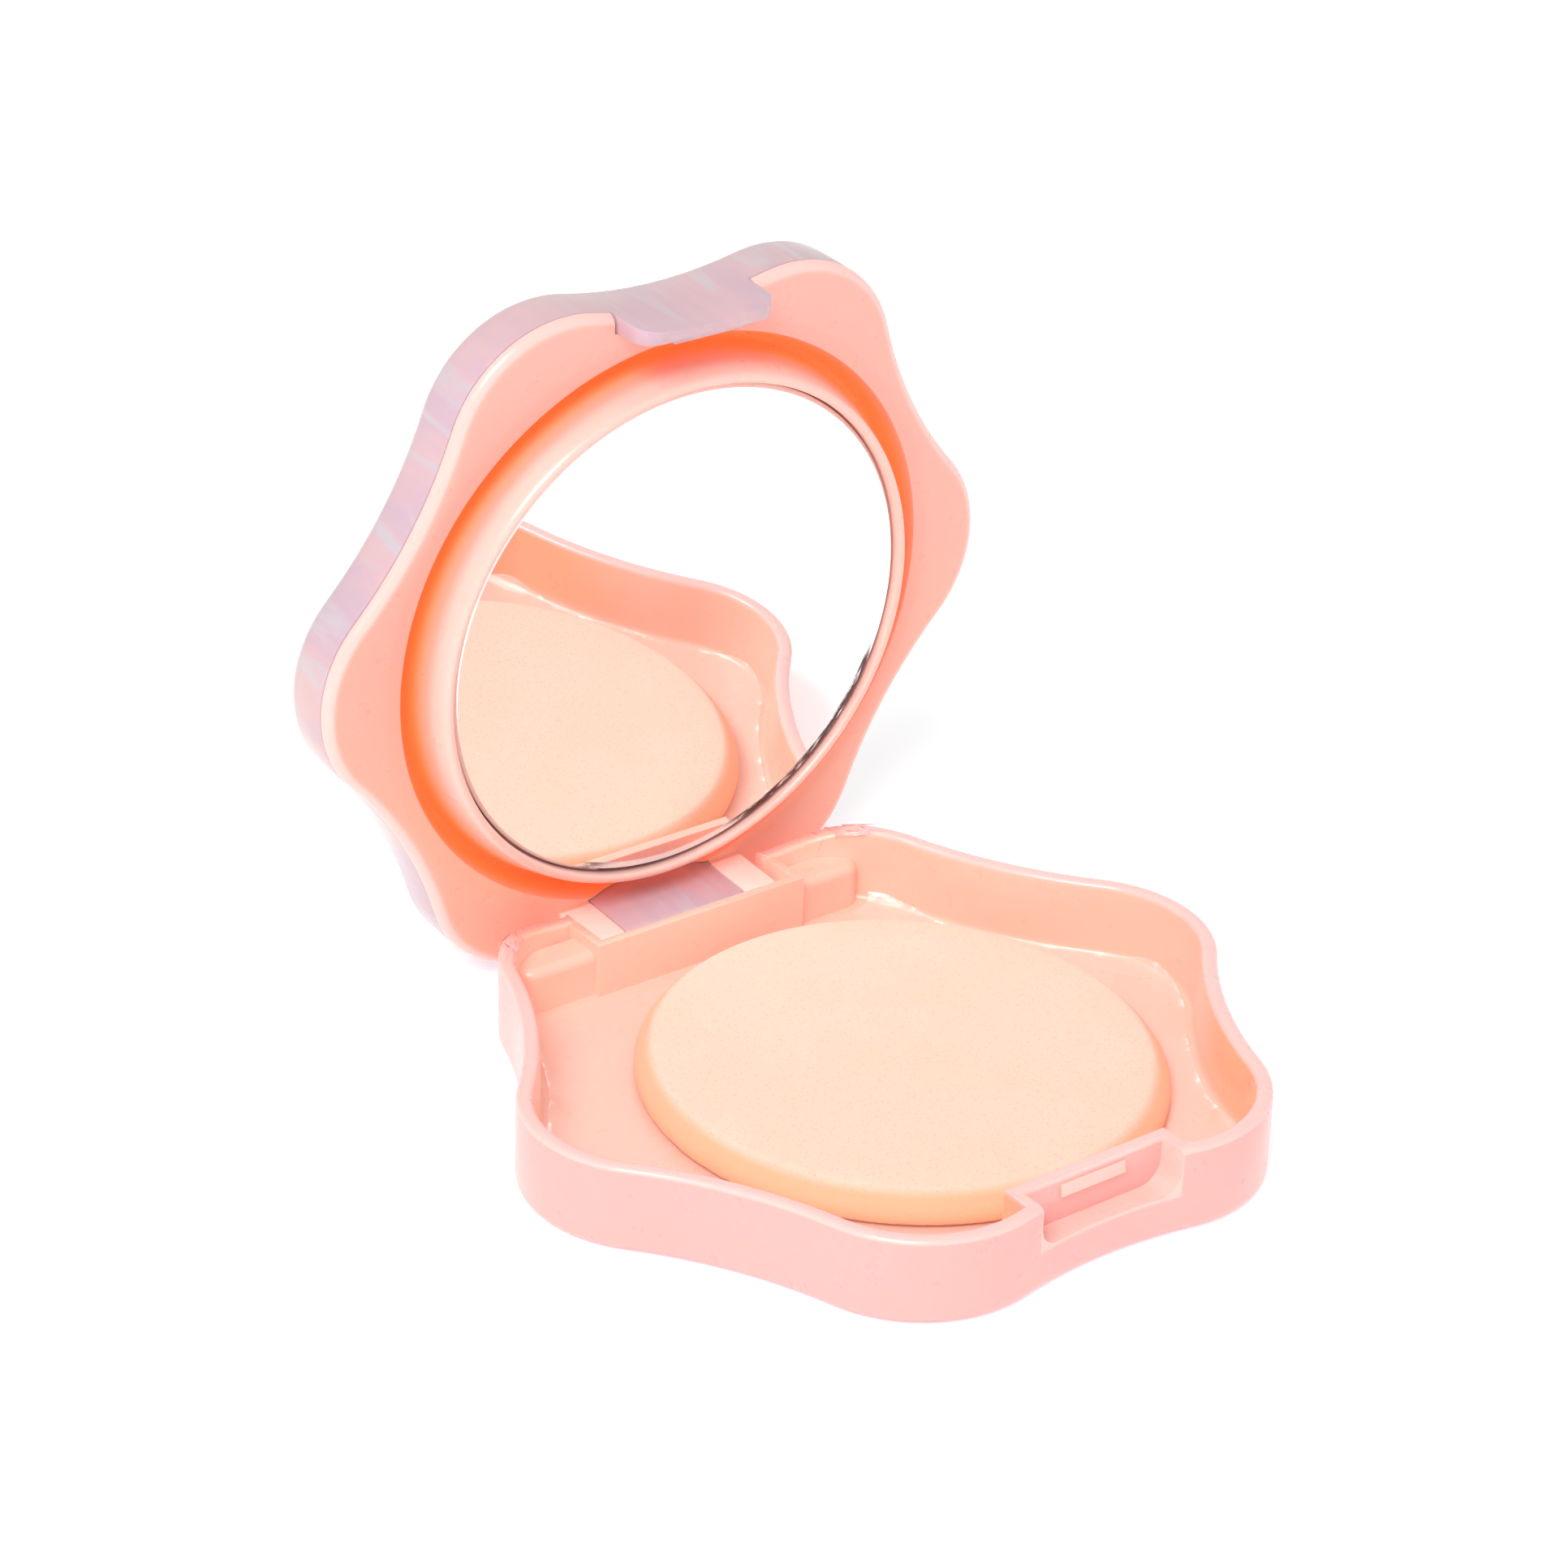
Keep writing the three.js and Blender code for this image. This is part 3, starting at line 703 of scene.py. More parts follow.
def film_lift(x, y):
    """How far the film's curled edge stands off the floor at a point in mm."""
    edge = max(0.0, 1 - (outline_depth(x, y) - FILM_INSET) / CURL_REACH)
    turn = math.atan2(y, x)
    wave = 0.5 + 0.5 * math.sin(11 * turn + 1.3) * math.cos(4 * turn)
    wave += 0.7 * noise.noise(Vector((x / 7, y / 7, 3.1)))
    flap = math.exp(-((math.degrees(turn) - FLAP_AT_DEGREES) ** 2) / 9.0)
    return edge**2 * max(0.15, wave) * CURL_HEIGHT + edge * flap * FLAP_HEIGHT


for vertex in floor_film.data.vertices:
    vertex.co.z += film_lift(vertex.co.x / MM, vertex.co.y / MM) * MM

# %% [markdown]
# ## Trimming the film
# The film is cut back round the hinge pocket and the latch pocket, with rounded corners. Then two
# zones are painted on the vertices for the materials to read: the inside of the tray, where light
# bounces between the walls and the plastic looks warmer, and the film's curled edge.

# %% Trim the film and mark the inside of the tray
hinge_room = block("hinge_room", (-21.95, 28.7, 0.0), (21.95, FAR, 20.0))
latch_room = block("latch_room", (-10.05, -FAR, 0.0), (10.05, -31.05, 20.0))
for tool in (hinge_room, latch_room):
    round_edges(tool, lambda m, d: abs(d.z) > 0.9, 1.2, 6)
    combine(floor_film, tool, "DIFFERENCE")
shade(floor_film, 50)
report(floor_film)


def paint(piece, name, amount_at):
    """Writes a number from 0 to 1 on every vertex, which a material reads by its name."""
    layer = piece.data.attributes.new(name, "FLOAT", "POINT")
    for vertex, value in zip(piece.data.vertices, layer.data):
        value.value = min(1.0, max(0.0, amount_at(*(vertex.co / MM))))


def inside_tray(x, y, z):
    if z < FLOOR_TOP * 0.6 or (abs(x) < NOTCH_HALF + 0.1 and y < NOTCH_BACK + 0.1):
        return 0.0
    return (outline_depth(x, y) - 0.4) / 1.2


paint(tray, "inside", inside_tray)
paint(floor_film, "curl", lambda x, y, z: (FILM_INSET + 0.7 - outline_depth(x, y)) / 0.6)
print("painted:", [layer.name for layer in tray.data.attributes][-1])

# %% [markdown]
# ## The sponge puff
# A latex sponge is stamped from a sheet, so it is flat on top, crisp at the edge, and fuller at its
# waist than at its top. The pillowy side comes from cloth simulation: a slightly small shape is
# remeshed into even quads, inflated for 20 frames with gravity off, and no point may move further
# than a small cap. The bottom is kept flat, because the puff lies on the film.

# %% Sponge puff
PUFF_CENTRE = (3.2, -0.2)
PUFF_HALF = (26.0, 27.0)
PUFF_TURN = math.radians(-15.7)
PUFF_FLOOR = 1.19
PUFF_R = 27.0
PUFF_RINGS = [
    (1.008, PUFF_FLOOR), (1.014, 1.28), (1.018, 1.5), (1.02, 2.0), (1.016, 2.5), (1.005, 3.0),
    (0.987, 3.5), (0.969, 4.0), (0.959, 4.25), (0.95, 4.4), (0.938, 4.5), (0.915, 4.55),
    (0.6, 4.6),
]
puff_sponge = loft("puff_sponge", [(round_ring, PUFF_R * k, height) for k, height in PUFF_RINGS])
edit_all(puff_sponge)
bpy.ops.transform.resize(
    value=(PUFF_HALF[0] / PUFF_R, PUFF_HALF[1] / PUFF_R, 1), center_override=(0, 0, 0)
)
bpy.ops.transform.rotate(value=-PUFF_TURN, orient_axis="Z", center_override=(0, 0, 0))
bpy.ops.transform.translate(value=(PUFF_CENTRE[0] * MM, PUFF_CENTRE[1] * MM, 0))
end_edit()
report(puff_sponge)

PUFF_CAP = 0.45
PUFF_VOXEL = 0.45
PUFF_PRESSURE = 4.0
PUFF_FRAMES = 20
puff_sponge.data.remesh_voxel_size = PUFF_VOXEL * MM
puff_sponge.data.remesh_voxel_adaptivity = 0
make_active(puff_sponge)
bpy.ops.object.voxel_remesh()
before = [vertex.co.copy() for vertex in puff_sponge.data.vertices]
cloth = puff_sponge.modifiers.new("inflate", "CLOTH")
cloth.settings.use_pressure = True
cloth.settings.uniform_pressure_force = PUFF_PRESSURE
cloth.settings.effector_weights.gravity = 0
bpy.context.scene.gravity = (0, 0, 0)
for step in range(1, PUFF_FRAMES + 1):
    bpy.context.scene.frame_set(step)
make_active(puff_sponge)
bpy.ops.object.modifier_apply(modifier=cloth.name)
moves = []
for vertex, start in zip(puff_sponge.data.vertices, before):
    move = vertex.co - start
    moves.append(move.length / MM)
    if move.length > PUFF_CAP * MM:
        vertex.co = start + move * (PUFF_CAP * MM / move.length)
    vertex.co.z = max(vertex.co.z, PUFF_FLOOR * MM)
print(f"inflated, largest wish {max(moves):.2f} mm, capped at {PUFF_CAP} mm")
bpy.context.scene.frame_set(1)
use_modifier(puff_sponge, "SMOOTH", factor=0.5, iterations=2)
use_modifier(puff_sponge, "SUBSURF", levels=1, render_levels=1)
bpy.ops.object.shade_smooth()
report(puff_sponge)

# %% [markdown]
# ## Building blocks for materials
# Every finish here is a node tree. `place` adds one node and fills its sockets, either with a plain
# value or with a link from another node, so a tree reads from top to bottom. Effects that several
# finishes share are node groups with named inputs. Patterns use object coordinates in millimetres,
# because then a grain of 0.3 mm is 0.3 mm on every piece.

# %% Material helpers
def feed(tree, socket, value):
    """Sets a socket to a constant, or links it when the value is another node's output."""
    if isinstance(value, bpy.types.NodeSocket):
        tree.links.new(value, socket)
    else:
        socket.default_value = value


def place(tree, kind, settings=None, **sockets):
    """Adds a node; a socket's value is a constant or another node's output. i0 means input 0."""
    node = tree.nodes.new("ShaderNode" + kind)
    for name, value in (settings or {}).items():
        setattr(node, name, value)
    for name, value in sockets.items():
        key = int(name[1:]) if name[0] == "i" and name[1:].isdigit() else name.replace("_", " ")
        feed(tree, node.inputs[key], value)
    return node


def math_node(tree, operation, a, b=0.0, c=0.0, clamp=False):
    settings = {"operation": operation, "use_clamp": clamp}
    return place(tree, "Math", settings, i0=a, i1=b, i2=c).outputs[0]


def span(tree, value, low, high, to_low=0.0, to_high=1.0):
    """Maps low..high to to_low..to_high and holds the ends."""
    return place(
        tree, "MapRange", {"interpolation_type": "SMOOTHSTEP"},
        i0=value, i1=low, i2=high, i3=to_low, i4=to_high,
    ).outputs[0]


def noise_of(tree, vector, scale, detail=2.0, roughness=0.5, distortion=0.0):
    return place(
        tree, "TexNoise", None, Vector=vector, Scale=scale, Detail=detail,
        Roughness=roughness, Distortion=distortion,
    ).outputs["Fac"]


def blend_colour(tree, factor, a, b, how="MIX"):
    node = place(tree, "Mix", {"data_type": "RGBA", "blend_type": how}, i0=factor, i6=a, i7=b)
    return node.outputs[2]


def start_group(name, inputs, outputs):
    """A shader node group; inputs and outputs are (name, socket kind, value) and (name, kind)."""
    group = bpy.data.node_groups.new(name, "ShaderNodeTree")
    for title, kind, value in inputs:
        socket = group.interface.new_socket(
            title, in_out="INPUT", socket_type="NodeSocket" + kind
        )
        if value is not None:
            socket.default_value = value
    for title, kind in outputs:
        group.interface.new_socket(title, in_out="OUTPUT", socket_type="NodeSocket" + kind)
    given = group.nodes.new("NodeGroupInput").outputs
    return group, given, group.nodes.new("NodeGroupOutput").inputs


def use_group(tree, group, **sockets):
    node = tree.nodes.new("ShaderNodeGroup")
    node.node_tree = group
    for name, value in sockets.items():
        feed(tree, node.inputs[name.replace("_", " ")], value)
    return node.outputs


def start_material(name, turn=0.0):
    """A material, its tree, its shader and object coordinates in mm, turned by turn about X."""
    material = bpy.data.materials.new(name)
    material.use_nodes = True
    tree = material.node_tree
    shader = tree.nodes["Principled BSDF"]
    coordinates = place(tree, "TexCoord").outputs["Object"]
    centred = place(
        tree, "Mapping", {"vector_type": "POINT"}, Vector=coordinates,
        Location=(0, -PIN_Y * MM, -PIN_Z * MM),
    ).outputs[0]
    turned = place(
        tree, "Mapping", {"vector_type": "POINT"}, Vector=centred, Rotation=(turn, 0, 0),
        Scale=(1 / MM, 1 / MM, 1 / MM),
    ).outputs[0]
    return material, tree, shader, turned


def set_shader(shader, **values):
    for name, value in values.items():
        shader.inputs[name.replace("_", " ")].default_value = value


def link_in(tree, source, shader, name):
    tree.links.new(source, shader.inputs[name])


print("material helpers ready")

# %% [markdown]
# ## Node groups
# `moulded_skin` is the very fine orange-peel of a polished mould with a slow unevenness under it.
# `colour_drift` lets a colour wander a little, as pigment does. `handling_marks` are hairline rubs
# from a handbag, made from noise stretched fifty times along one direction, and only the lid's
# shell, its sheet and the film have them. `foam_pores` are the
# open cells of a sponge. `pearl_streaks` are the soft bands of a pearl print. `band` picks out a
# zone between two values, such as a rim or the bottom of a groove.

# %% Moulded skin
moulded_skin, given, gives = start_group(
    "moulded_skin",
    [("Vector", "Vector", None), ("Grain", "Float", 3.0), ("Low", "Float", 0.25),
     ("High", "Float", 0.4)],
    [("Height", "Float"), ("Roughness", "Float")],
)
peel = noise_of(moulded_skin, given["Vector"], given["Grain"], 3.0, 0.55)
flow = noise_of(moulded_skin, given["Vector"], 0.09, 1.0)
height = math_node(moulded_skin, "MULTIPLY_ADD", flow, 1.6, peel)
moulded_skin.links.new(height, gives["Height"])
cloudy = noise_of(moulded_skin, given["Vector"], 0.35, 4.0, 0.6)
spread = place(moulded_skin, "MapRange", None, i0=cloudy, i1=0.3, i2=0.7, i3=given["Low"],
               i4=given["High"]).outputs[0]
moulded_skin.links.new(spread, gives["Roughness"])
print(moulded_skin.name, "ready")

# %% Colour drift
colour_drift, given, gives = start_group(
    "colour_drift",
    [("Vector", "Vector", None), ("Scale", "Float", 0.06), ("Main", "Color", None),
     ("Other", "Color", None)],
    [("Color", "Color")],
)
cloud = noise_of(colour_drift, given["Vector"], given["Scale"], 3.0, 0.6)
amount = span(colour_drift, cloud, 0.35, 0.7)
colour_drift.links.new(
    blend_colour(colour_drift, amount, given["Main"], given["Other"]), gives["Color"]
)
print(colour_drift.name, "ready")

# %% Handling marks
handling_marks, given, gives = start_group(
    "handling_marks",
    [("Vector", "Vector", None), ("Amount", "Float", 0.5)],
    [("Mask", "Float")],
)
hairs = 0.0
for turn in (0.4, 1.9, 2.7):
    stretched = place(
        handling_marks, "Mapping", None, Vector=given["Vector"], Rotation=(turn, turn * 0.7, turn),
        Scale=(0.12, 6.0, 6.0),
    ).outputs[0]
    hair = span(handling_marks, noise_of(handling_marks, stretched, 1.0, 1.0), 0.68, 0.74)
    hairs = math_node(handling_marks, "MAXIMUM", hair, hairs)
patch = span(handling_marks, noise_of(handling_marks, given["Vector"], 0.12), 0.42, 0.62)
wear_and_reflection = math_node(handling_marks, "MULTIPLY", hairs, patch)
handling_marks.links.new(
    math_node(handling_marks, "MULTIPLY", wear_and_reflection, given["Amount"]), gives["Mask"]
)
print(handling_marks.name, "ready")

# %% Foam pores
foam_pores, given, gives = start_group(
    "foam_pores",
    [("Vector", "Vector", None), ("Cells", "Float", 2.2), ("Openness", "Float", 0.5)],
    [("Height", "Float"), ("Shade", "Float")],
)
cells = place(
    foam_pores, "TexVoronoi", {"feature": "F1"}, Vector=given["Vector"], Scale=given["Cells"]
).outputs["Distance"]
chance = noise_of(foam_pores, given["Vector"], given["Cells"], 1.0)
pit = math_node(foam_pores, "SUBTRACT", 1.0, span(foam_pores, cells, 0.12, 0.42))
few = span(foam_pores, chance, 0.4, 0.62)
hole = math_node(foam_pores, "MULTIPLY", math_node(foam_pores, "MULTIPLY", pit, few),
                 given["Openness"])
fuzz = noise_of(foam_pores, given["Vector"], 9.0, 3.0, 0.7)
foam_pores.links.new(math_node(foam_pores, "MULTIPLY_ADD", fuzz, 0.35,
                               math_node(foam_pores, "SUBTRACT", 1.0, hole)), gives["Height"])
# Shade is painted shade: it is high in the open pits, which the foam material darkens.
foam_pores.links.new(hole, gives["Shade"])
print(foam_pores.name, "ready")

# %% Pearl streaks
pearl_streaks, given, gives = start_group(
    "pearl_streaks",
    [("Vector", "Vector", None), ("Rose", "Color", None), ("Lilac", "Color", None),
     ("Mist", "Color", None)],
    [("Color", "Color"), ("Shimmer", "Float")],
)
drawn = place(pearl_streaks, "Mapping", None, Vector=given["Vector"],
              Scale=(0.16, 0.16, 0.03)).outputs[0]
streak = noise_of(pearl_streaks, drawn, 1.0, 3.0, 0.6, 0.6)
first = blend_colour(pearl_streaks, span(pearl_streaks, streak, 0.38, 0.62), given["Rose"],
                     given["Lilac"])
second = noise_of(pearl_streaks, drawn, 2.3, 2.0, 0.5, 1.0)
pearl_streaks.links.new(
    blend_colour(pearl_streaks, span(pearl_streaks, second, 0.52, 0.72), first, given["Mist"]),
    gives["Color"],
)
pearl_streaks.links.new(second, gives["Shimmer"])
print(pearl_streaks.name, "ready")

# %% Bands
band, given, gives = start_group(
    "band",
    [("Value", "Float", 0.0), ("From", "Float", 0.0), ("To", "Float", 1.0), ("Soft", "Float", 0.2)],
    [("Mask", "Float")],
)
rise = place(
    band, "MapRange", {"interpolation_type": "SMOOTHSTEP"}, i0=given["Value"],
    i1=math_node(band, "SUBTRACT", given["From"], given["Soft"]), i2=given["From"],
).outputs[0]
fall = place(
    band, "MapRange", {"interpolation_type": "SMOOTHSTEP"}, i0=given["Value"], i1=given["To"],
    i2=math_node(band, "ADD", given["To"], given["Soft"]), i3=1.0, i4=0.0,
).outputs[0]
band.links.new(math_node(band, "MULTIPLY", rise, fall), gives["Mask"])
print(band.name, "ready")

# %% [markdown]
# ## Coral plastic
# The tray and the lid's frame are one pink-coral moulding plastic. It is not fully opaque: light
# goes a millimetre or so into it, which is why thin rims look pale and deep corners glow orange.
# Subsurface scattering gives a part of that glow, and a little emission in the same colour gives
# the rest. The emission is painted light, a stand-in for light that passes through the plastic: its
# amounts were set for this lighting, and it should be turned down for a dark scene. Bands paint in
# what a single colour can't: a painted highlight on the tray's rim, the frame's edge and the
# mirror's lip, painted bounce light inside the tray and on the frame towards the hinge, painted
# light on the latch pocket and the knuckles, painted shade in the deep orange of the mirror's
# groove, and a rosier bottom edge.

# %% Coral plastic
TRAY_PINK = (0.97, 0.42, 0.385, 1)
# Painted bounce light: the inside of the tray is made warmer, with a little glow, for the light
# that bounces between its walls.
TRAY_BOUNCE_GLOW = (0.98, 0.53, 0.42, 1)
# Painted highlight: the top of the rim is made paler, for its highlight and the light that comes
# through the thin edge.
TRAY_RIM_HIGHLIGHT = (0.97, 0.56, 0.52, 1)
# Painted light: the latch pocket is made paler, for the light that falls into it.
NOTCH_PAINTED_LIGHT = (0.97, 0.53, 0.47, 1)
# Painted bounce light: the front of the inside wall, which the mirror shows, is made a deeper
# orange with a little glow.
TRAY_FRONT_BOUNCE_GLOW = (0.98, 0.46, 0.29, 1)
TRAY_FOOT = (0.95, 0.30, 0.33, 1)
FRAME_PINK = (0.96, 0.385, 0.315, 1)
# Painted light: towards the hinge the frame is made warmer and glows more, where the lid shades it.
FRAME_HINGE_GLOW = (0.96, 0.43, 0.32, 1)
# Painted highlight: the rounded edge of the face is made paler.
FRAME_EDGE_HIGHLIGHT = (0.97, 0.55, 0.50, 1)
# Painted highlight: the top of the lip round the mirror is made paler.
LIP_HIGHLIGHT = (0.97, 0.55, 0.48, 1)
# Painted light: the knuckles and necks under the face are made paler, with a strong glow.
KNUCKLE_GLOW = (0.98, 0.62, 0.55, 1)
# Painted shade and bounce light: the groove is made deep orange with a strong glow, for the shade
# and the light that bounces between its walls.
GROOVE_SHADE_AND_GLOW = (1.0, 0.24, 0.07, 1)


def coral_plastic(name, turn, main, glow, zones):
    """zones are (limits, colour, glow) and a limit is (reading, from, to, soft), lid shut."""
    material, tree, shader, vector = start_material(name, turn)
    axes = place(tree, "SeparateXYZ", None, Vector=vector).outputs
    middle_y = math_node(tree, "ADD", axes[1], PIN_Y)
    square = math_node(tree, "MULTIPLY", axes[0], axes[0])
    square = math_node(tree, "ADD", square, math_node(tree, "MULTIPLY", middle_y, middle_y))
    reads = {
        "x": axes[0],
        "y": middle_y,
        "z": math_node(tree, "ADD", axes[2], PIN_Z),
        "r": math_node(tree, "SQRT", square),
        "inside": place(tree, "Attribute", {"attribute_name": "inside"}).outputs["Fac"],
    }
    colour = main
    for limits, tint, tint_glow in zones:
        mask = 1.0
        for axis, low, high, soft in limits:
            part = use_group(tree, band, Value=reads[axis], From=low, To=high, Soft=soft)["Mask"]
            mask = math_node(tree, "MULTIPLY", part, mask)
        colour = blend_colour(tree, mask, colour, tint)
        rest = math_node(tree, "MULTIPLY", glow, math_node(tree, "SUBTRACT", 1.0, mask))
        glow = math_node(tree, "MULTIPLY_ADD", mask, tint_glow, rest)
    skin = use_group(tree, moulded_skin, Vector=vector, Grain=2.4, Low=0.26, High=0.34)
    link_in(tree, colour, shader, "Base Color")
    link_in(tree, blend_colour(tree, glow, (0, 0, 0, 1), colour), shader, "Emission Color")
    link_in(tree, skin["Roughness"], shader, "Roughness")
    bump = place(tree, "Bump", None, Strength=0.05, Distance=0.00003, Height=skin["Height"])
    link_in(tree, bump.outputs[0], shader, "Normal")
    set_shader(shader, Subsurface_Weight=0.35, Subsurface_Scale=0.0012,
               Subsurface_Radius=(1.0, 0.35, 0.2), Coat_Weight=0.25, Coat_Roughness=0.12,
               Emission_Strength=1.0)
    return material


# Painted light and shade: the tray's zones paint bounce light inside and on the front wall, a
# highlight on the rim and light on the latch pocket, and the bottom edge is made rosier; every glow
# is painted light.
tray_coral = coral_plastic("tray_coral", 0.0, TRAY_PINK, 0.0, [
    ([("inside", 1.0, 2.0, 1.0)], TRAY_BOUNCE_GLOW, 0.1),
    ([("inside", 1.0, 2.0, 0.5), ("y", -60.0, -6.0, 14.0), ("z", 2.6, 20.0, 1.2),
      ("x", -60.0, 25.0, 7.0)], TRAY_FRONT_BOUNCE_GLOW, 0.1),
    ([("z", TRAY_TOP - 0.3, 20.0, 0.3)], TRAY_RIM_HIGHLIGHT, 0.05),
    ([("z", -1.0, 0.3, 0.3)], TRAY_FOOT, 0.05),
    ([("z", NOTCH_FLOOR - 0.2, 20.0, 0.3), ("x", -NOTCH_HALF, NOTCH_HALF, 0.2),
      ("y", -60.0, NOTCH_BACK - 0.06, 0.03)], NOTCH_PAINTED_LIGHT, 0.03),
])
# Painted light and shade: the frame's zones paint light towards the hinge and on the knuckles,
# highlights on the face's edge and the lip, and the groove's shade; every glow is painted light.
frame_coral = coral_plastic("frame_coral", OPEN_ANGLE, FRAME_PINK, 0.06, [
    ([("y", 30.0, 60.0, 45.0)], FRAME_HINGE_GLOW, 0.11),
    ([("z", FACE_Z + 0.12, FACE_Z + 1.3, 0.15), ("r", 33.5, 60.0, 0.5)], FRAME_EDGE_HIGHLIGHT, 0.05),
    ([("z", 0.0, 7.4, 1.6), ("r", 27.0, 29.2, 0.1)], LIP_HIGHLIGHT, 0.02),
    ([("z", 10.9, 20.0, 2.7), ("r", 27.2, 31.6, 0.1)], GROOVE_SHADE_AND_GLOW, 0.26),
    ([("z", -20.0, FACE_Z - 0.6, 0.3), ("y", 29.8, 60.0, 0.3)], KNUCKLE_GLOW, 0.2),
])
print("coral plastics:", tray_coral.name, frame_coral.name)

# %% [markdown]
# ## Pearl shell, pearl sheet and clear film
# The shell is a clear mauve plastic, so most of what shows is the pearl behind it. A thin-film
# layer of a few hundred nanometres turns its glints pink and green. The sheet under it carries the
# same streaks, but with a metallic shimmer. The film on the floor is clear: only its edges and
# glints show. The glints on its curled edge are white emission, which is a stand-in as well.

# %% Pearl and clear finishes
ROSE = (0.82, 0.56, 0.61, 1)
LILAC = (0.73, 0.53, 0.64, 1)
MIST = (0.72, 0.63, 0.70, 1)


def pearl_plastic(name, shimmer, grain, bump_strength):
    material, tree, shader, vector = start_material(name, OPEN_ANGLE)
    streaks = use_group(tree, pearl_streaks, Vector=vector, Rose=ROSE, Lilac=LILAC, Mist=MIST)
    marks = use_group(tree, handling_marks, Vector=vector, Amount=0.2)["Mask"]
    skin = use_group(tree, moulded_skin, Vector=vector, Grain=grain, Low=0.14, High=0.24)
    link_in(tree, streaks["Color"], shader, "Base Color")
    link_in(tree, math_node(tree, "MULTIPLY_ADD", marks, 0.2, skin["Roughness"]), shader,
            "Roughness")
    if shimmer:
        link_in(tree, math_node(tree, "MULTIPLY", streaks["Shimmer"], shimmer), shader, "Metallic")
    bump = place(tree, "Bump", None, Strength=bump_strength, Distance=0.00004,
                 Height=skin["Height"])
    link_in(tree, bump.outputs[0], shader, "Normal")
    return material, shader


pearl_shell, shader = pearl_plastic("pearl_shell", 0.0, 1.6, 0.1)
set_shader(shader, Transmission_Weight=0.25, IOR=1.49, Thin_Film_Thickness=300.0,
           Thin_Film_IOR=1.33, Coat_Weight=0.4, Coat_Roughness=0.05)
pearl_print, shader = pearl_plastic("pearl_print", 0.9, 5.0, 0.3)
set_shader(shader, Coat_Weight=0.3, Coat_Roughness=0.2)

clear_film, tree, shader, vector = start_material("clear_film")
marks = use_group(tree, handling_marks, Vector=vector, Amount=1.0)["Mask"]
skin = use_group(tree, moulded_skin, Vector=vector, Grain=0.5, Low=0.04, High=0.12)
dust = span(tree, noise_of(tree, vector, 1.4, 4.0, 0.7), 0.6, 0.8, 0.1, 0.16)
curl = place(tree, "Attribute", {"attribute_name": "curl"}).outputs["Fac"]
# Painted highlight: along the curled edge, white glints are painted in patches as white emission
# and more opaque film.
glint_spread = span(tree, noise_of(tree, vector, 0.5, 3.0, 0.6), 0.45, 0.7, 0.05, 0.5)
glints = math_node(tree, "MULTIPLY", curl, glint_spread)
clear = math_node(tree, "MAXIMUM", dust, glints)
link_in(tree, math_node(tree, "MULTIPLY_ADD", marks, 0.1, clear), shader, "Alpha")
link_in(tree, blend_colour(tree, glints, (0, 0, 0, 1), (1, 0.96, 0.94, 1)), shader,
        "Emission Color")
link_in(tree, skin["Roughness"], shader, "Roughness")
bump = place(tree, "Bump", None, Strength=0.4, Distance=0.0001, Height=skin["Height"])
link_in(tree, bump.outputs[0], shader, "Normal")
set_shader(shader, Base_Color=(1, 0.93, 0.91, 1), Emission_Strength=0.9,
           Specular_IOR_Level=1.0, Coat_Weight=1.0, Coat_Roughness=0.03)
print("pearl and clear finishes ready")

# %% [markdown]
# ## Sponge, mirror, tape and steel
# The sponge is matt, with pores a few tenths of a millimetre wide whose shade is painted in, and
# its stamped side is painted warmer for the light that bounces up from the tray. The mirror is one
# polished face, and next to the hinge its border is painted dark and dull, broken by silver
# patches: a painted reflection of the glass's edge. The tape is the same foam in white, with the
# same painted shade in its pores, and the pin is drawn steel with rings left by the drawing die.

# %% Sponge and tape
def foam(name, cells, openness, main, other, pit, side=None):
    material, tree, shader, vector = start_material(name)
    drift = use_group(tree, colour_drift, Vector=vector, Scale=0.1, Main=main, Other=other)
    colour = drift["Color"]
    # Painted bounce light: the lower part of the puff's side is made warmer, for the light that the
    # tray throws up onto it.
    if side:
        up = place(tree, "SeparateXYZ", None, Vector=vector).outputs[2]
        low = use_group(tree, band, Value=up, From=-9.0, To=3.6 - PIN_Z, Soft=0.9)["Mask"]
        colour = blend_colour(tree, low, colour, side)
    pores = use_group(tree, foam_pores, Vector=vector, Cells=cells, Openness=openness)
    # Painted shade: the pores and the low spots of the foam are darkened towards the pit colour,
    # for the shade in the open cells.
    colour = blend_colour(tree, span(tree, pores["Height"], 1.25, 1.05, 0.0, 0.35), colour, pit)
    link_in(tree, blend_colour(tree, pores["Shade"], colour, pit), shader, "Base Color")
    matt = span(tree, pores["Height"], 0.5, 1.3, 0.95, 0.8)
    link_in(tree, matt, shader, "Roughness")
    bump = place(tree, "Bump", None, Strength=0.5, Distance=0.00012, Height=pores["Height"])
    link_in(tree, bump.outputs[0], shader, "Normal")
    set_shader(shader, Specular_IOR_Level=0.2, Sheen_Weight=0.15, Sheen_Roughness=0.5,
               Subsurface_Weight=0.3, Subsurface_Scale=0.002, Subsurface_Radius=(1.0, 0.6, 0.4))
    return material


puff_foam = foam("puff_foam", 2.6, 0.45, (0.93, 0.70, 0.57, 1), (0.94, 0.68, 0.54, 1),
                 (0.86, 0.55, 0.40, 1), (0.95, 0.54, 0.33, 1))
tape_foam = foam("tape_foam", 4.0, 0.6, (0.85, 0.85, 0.83, 1), (0.8, 0.8, 0.78, 1),
                 (0.5, 0.5, 0.5, 1))
print("foams ready")

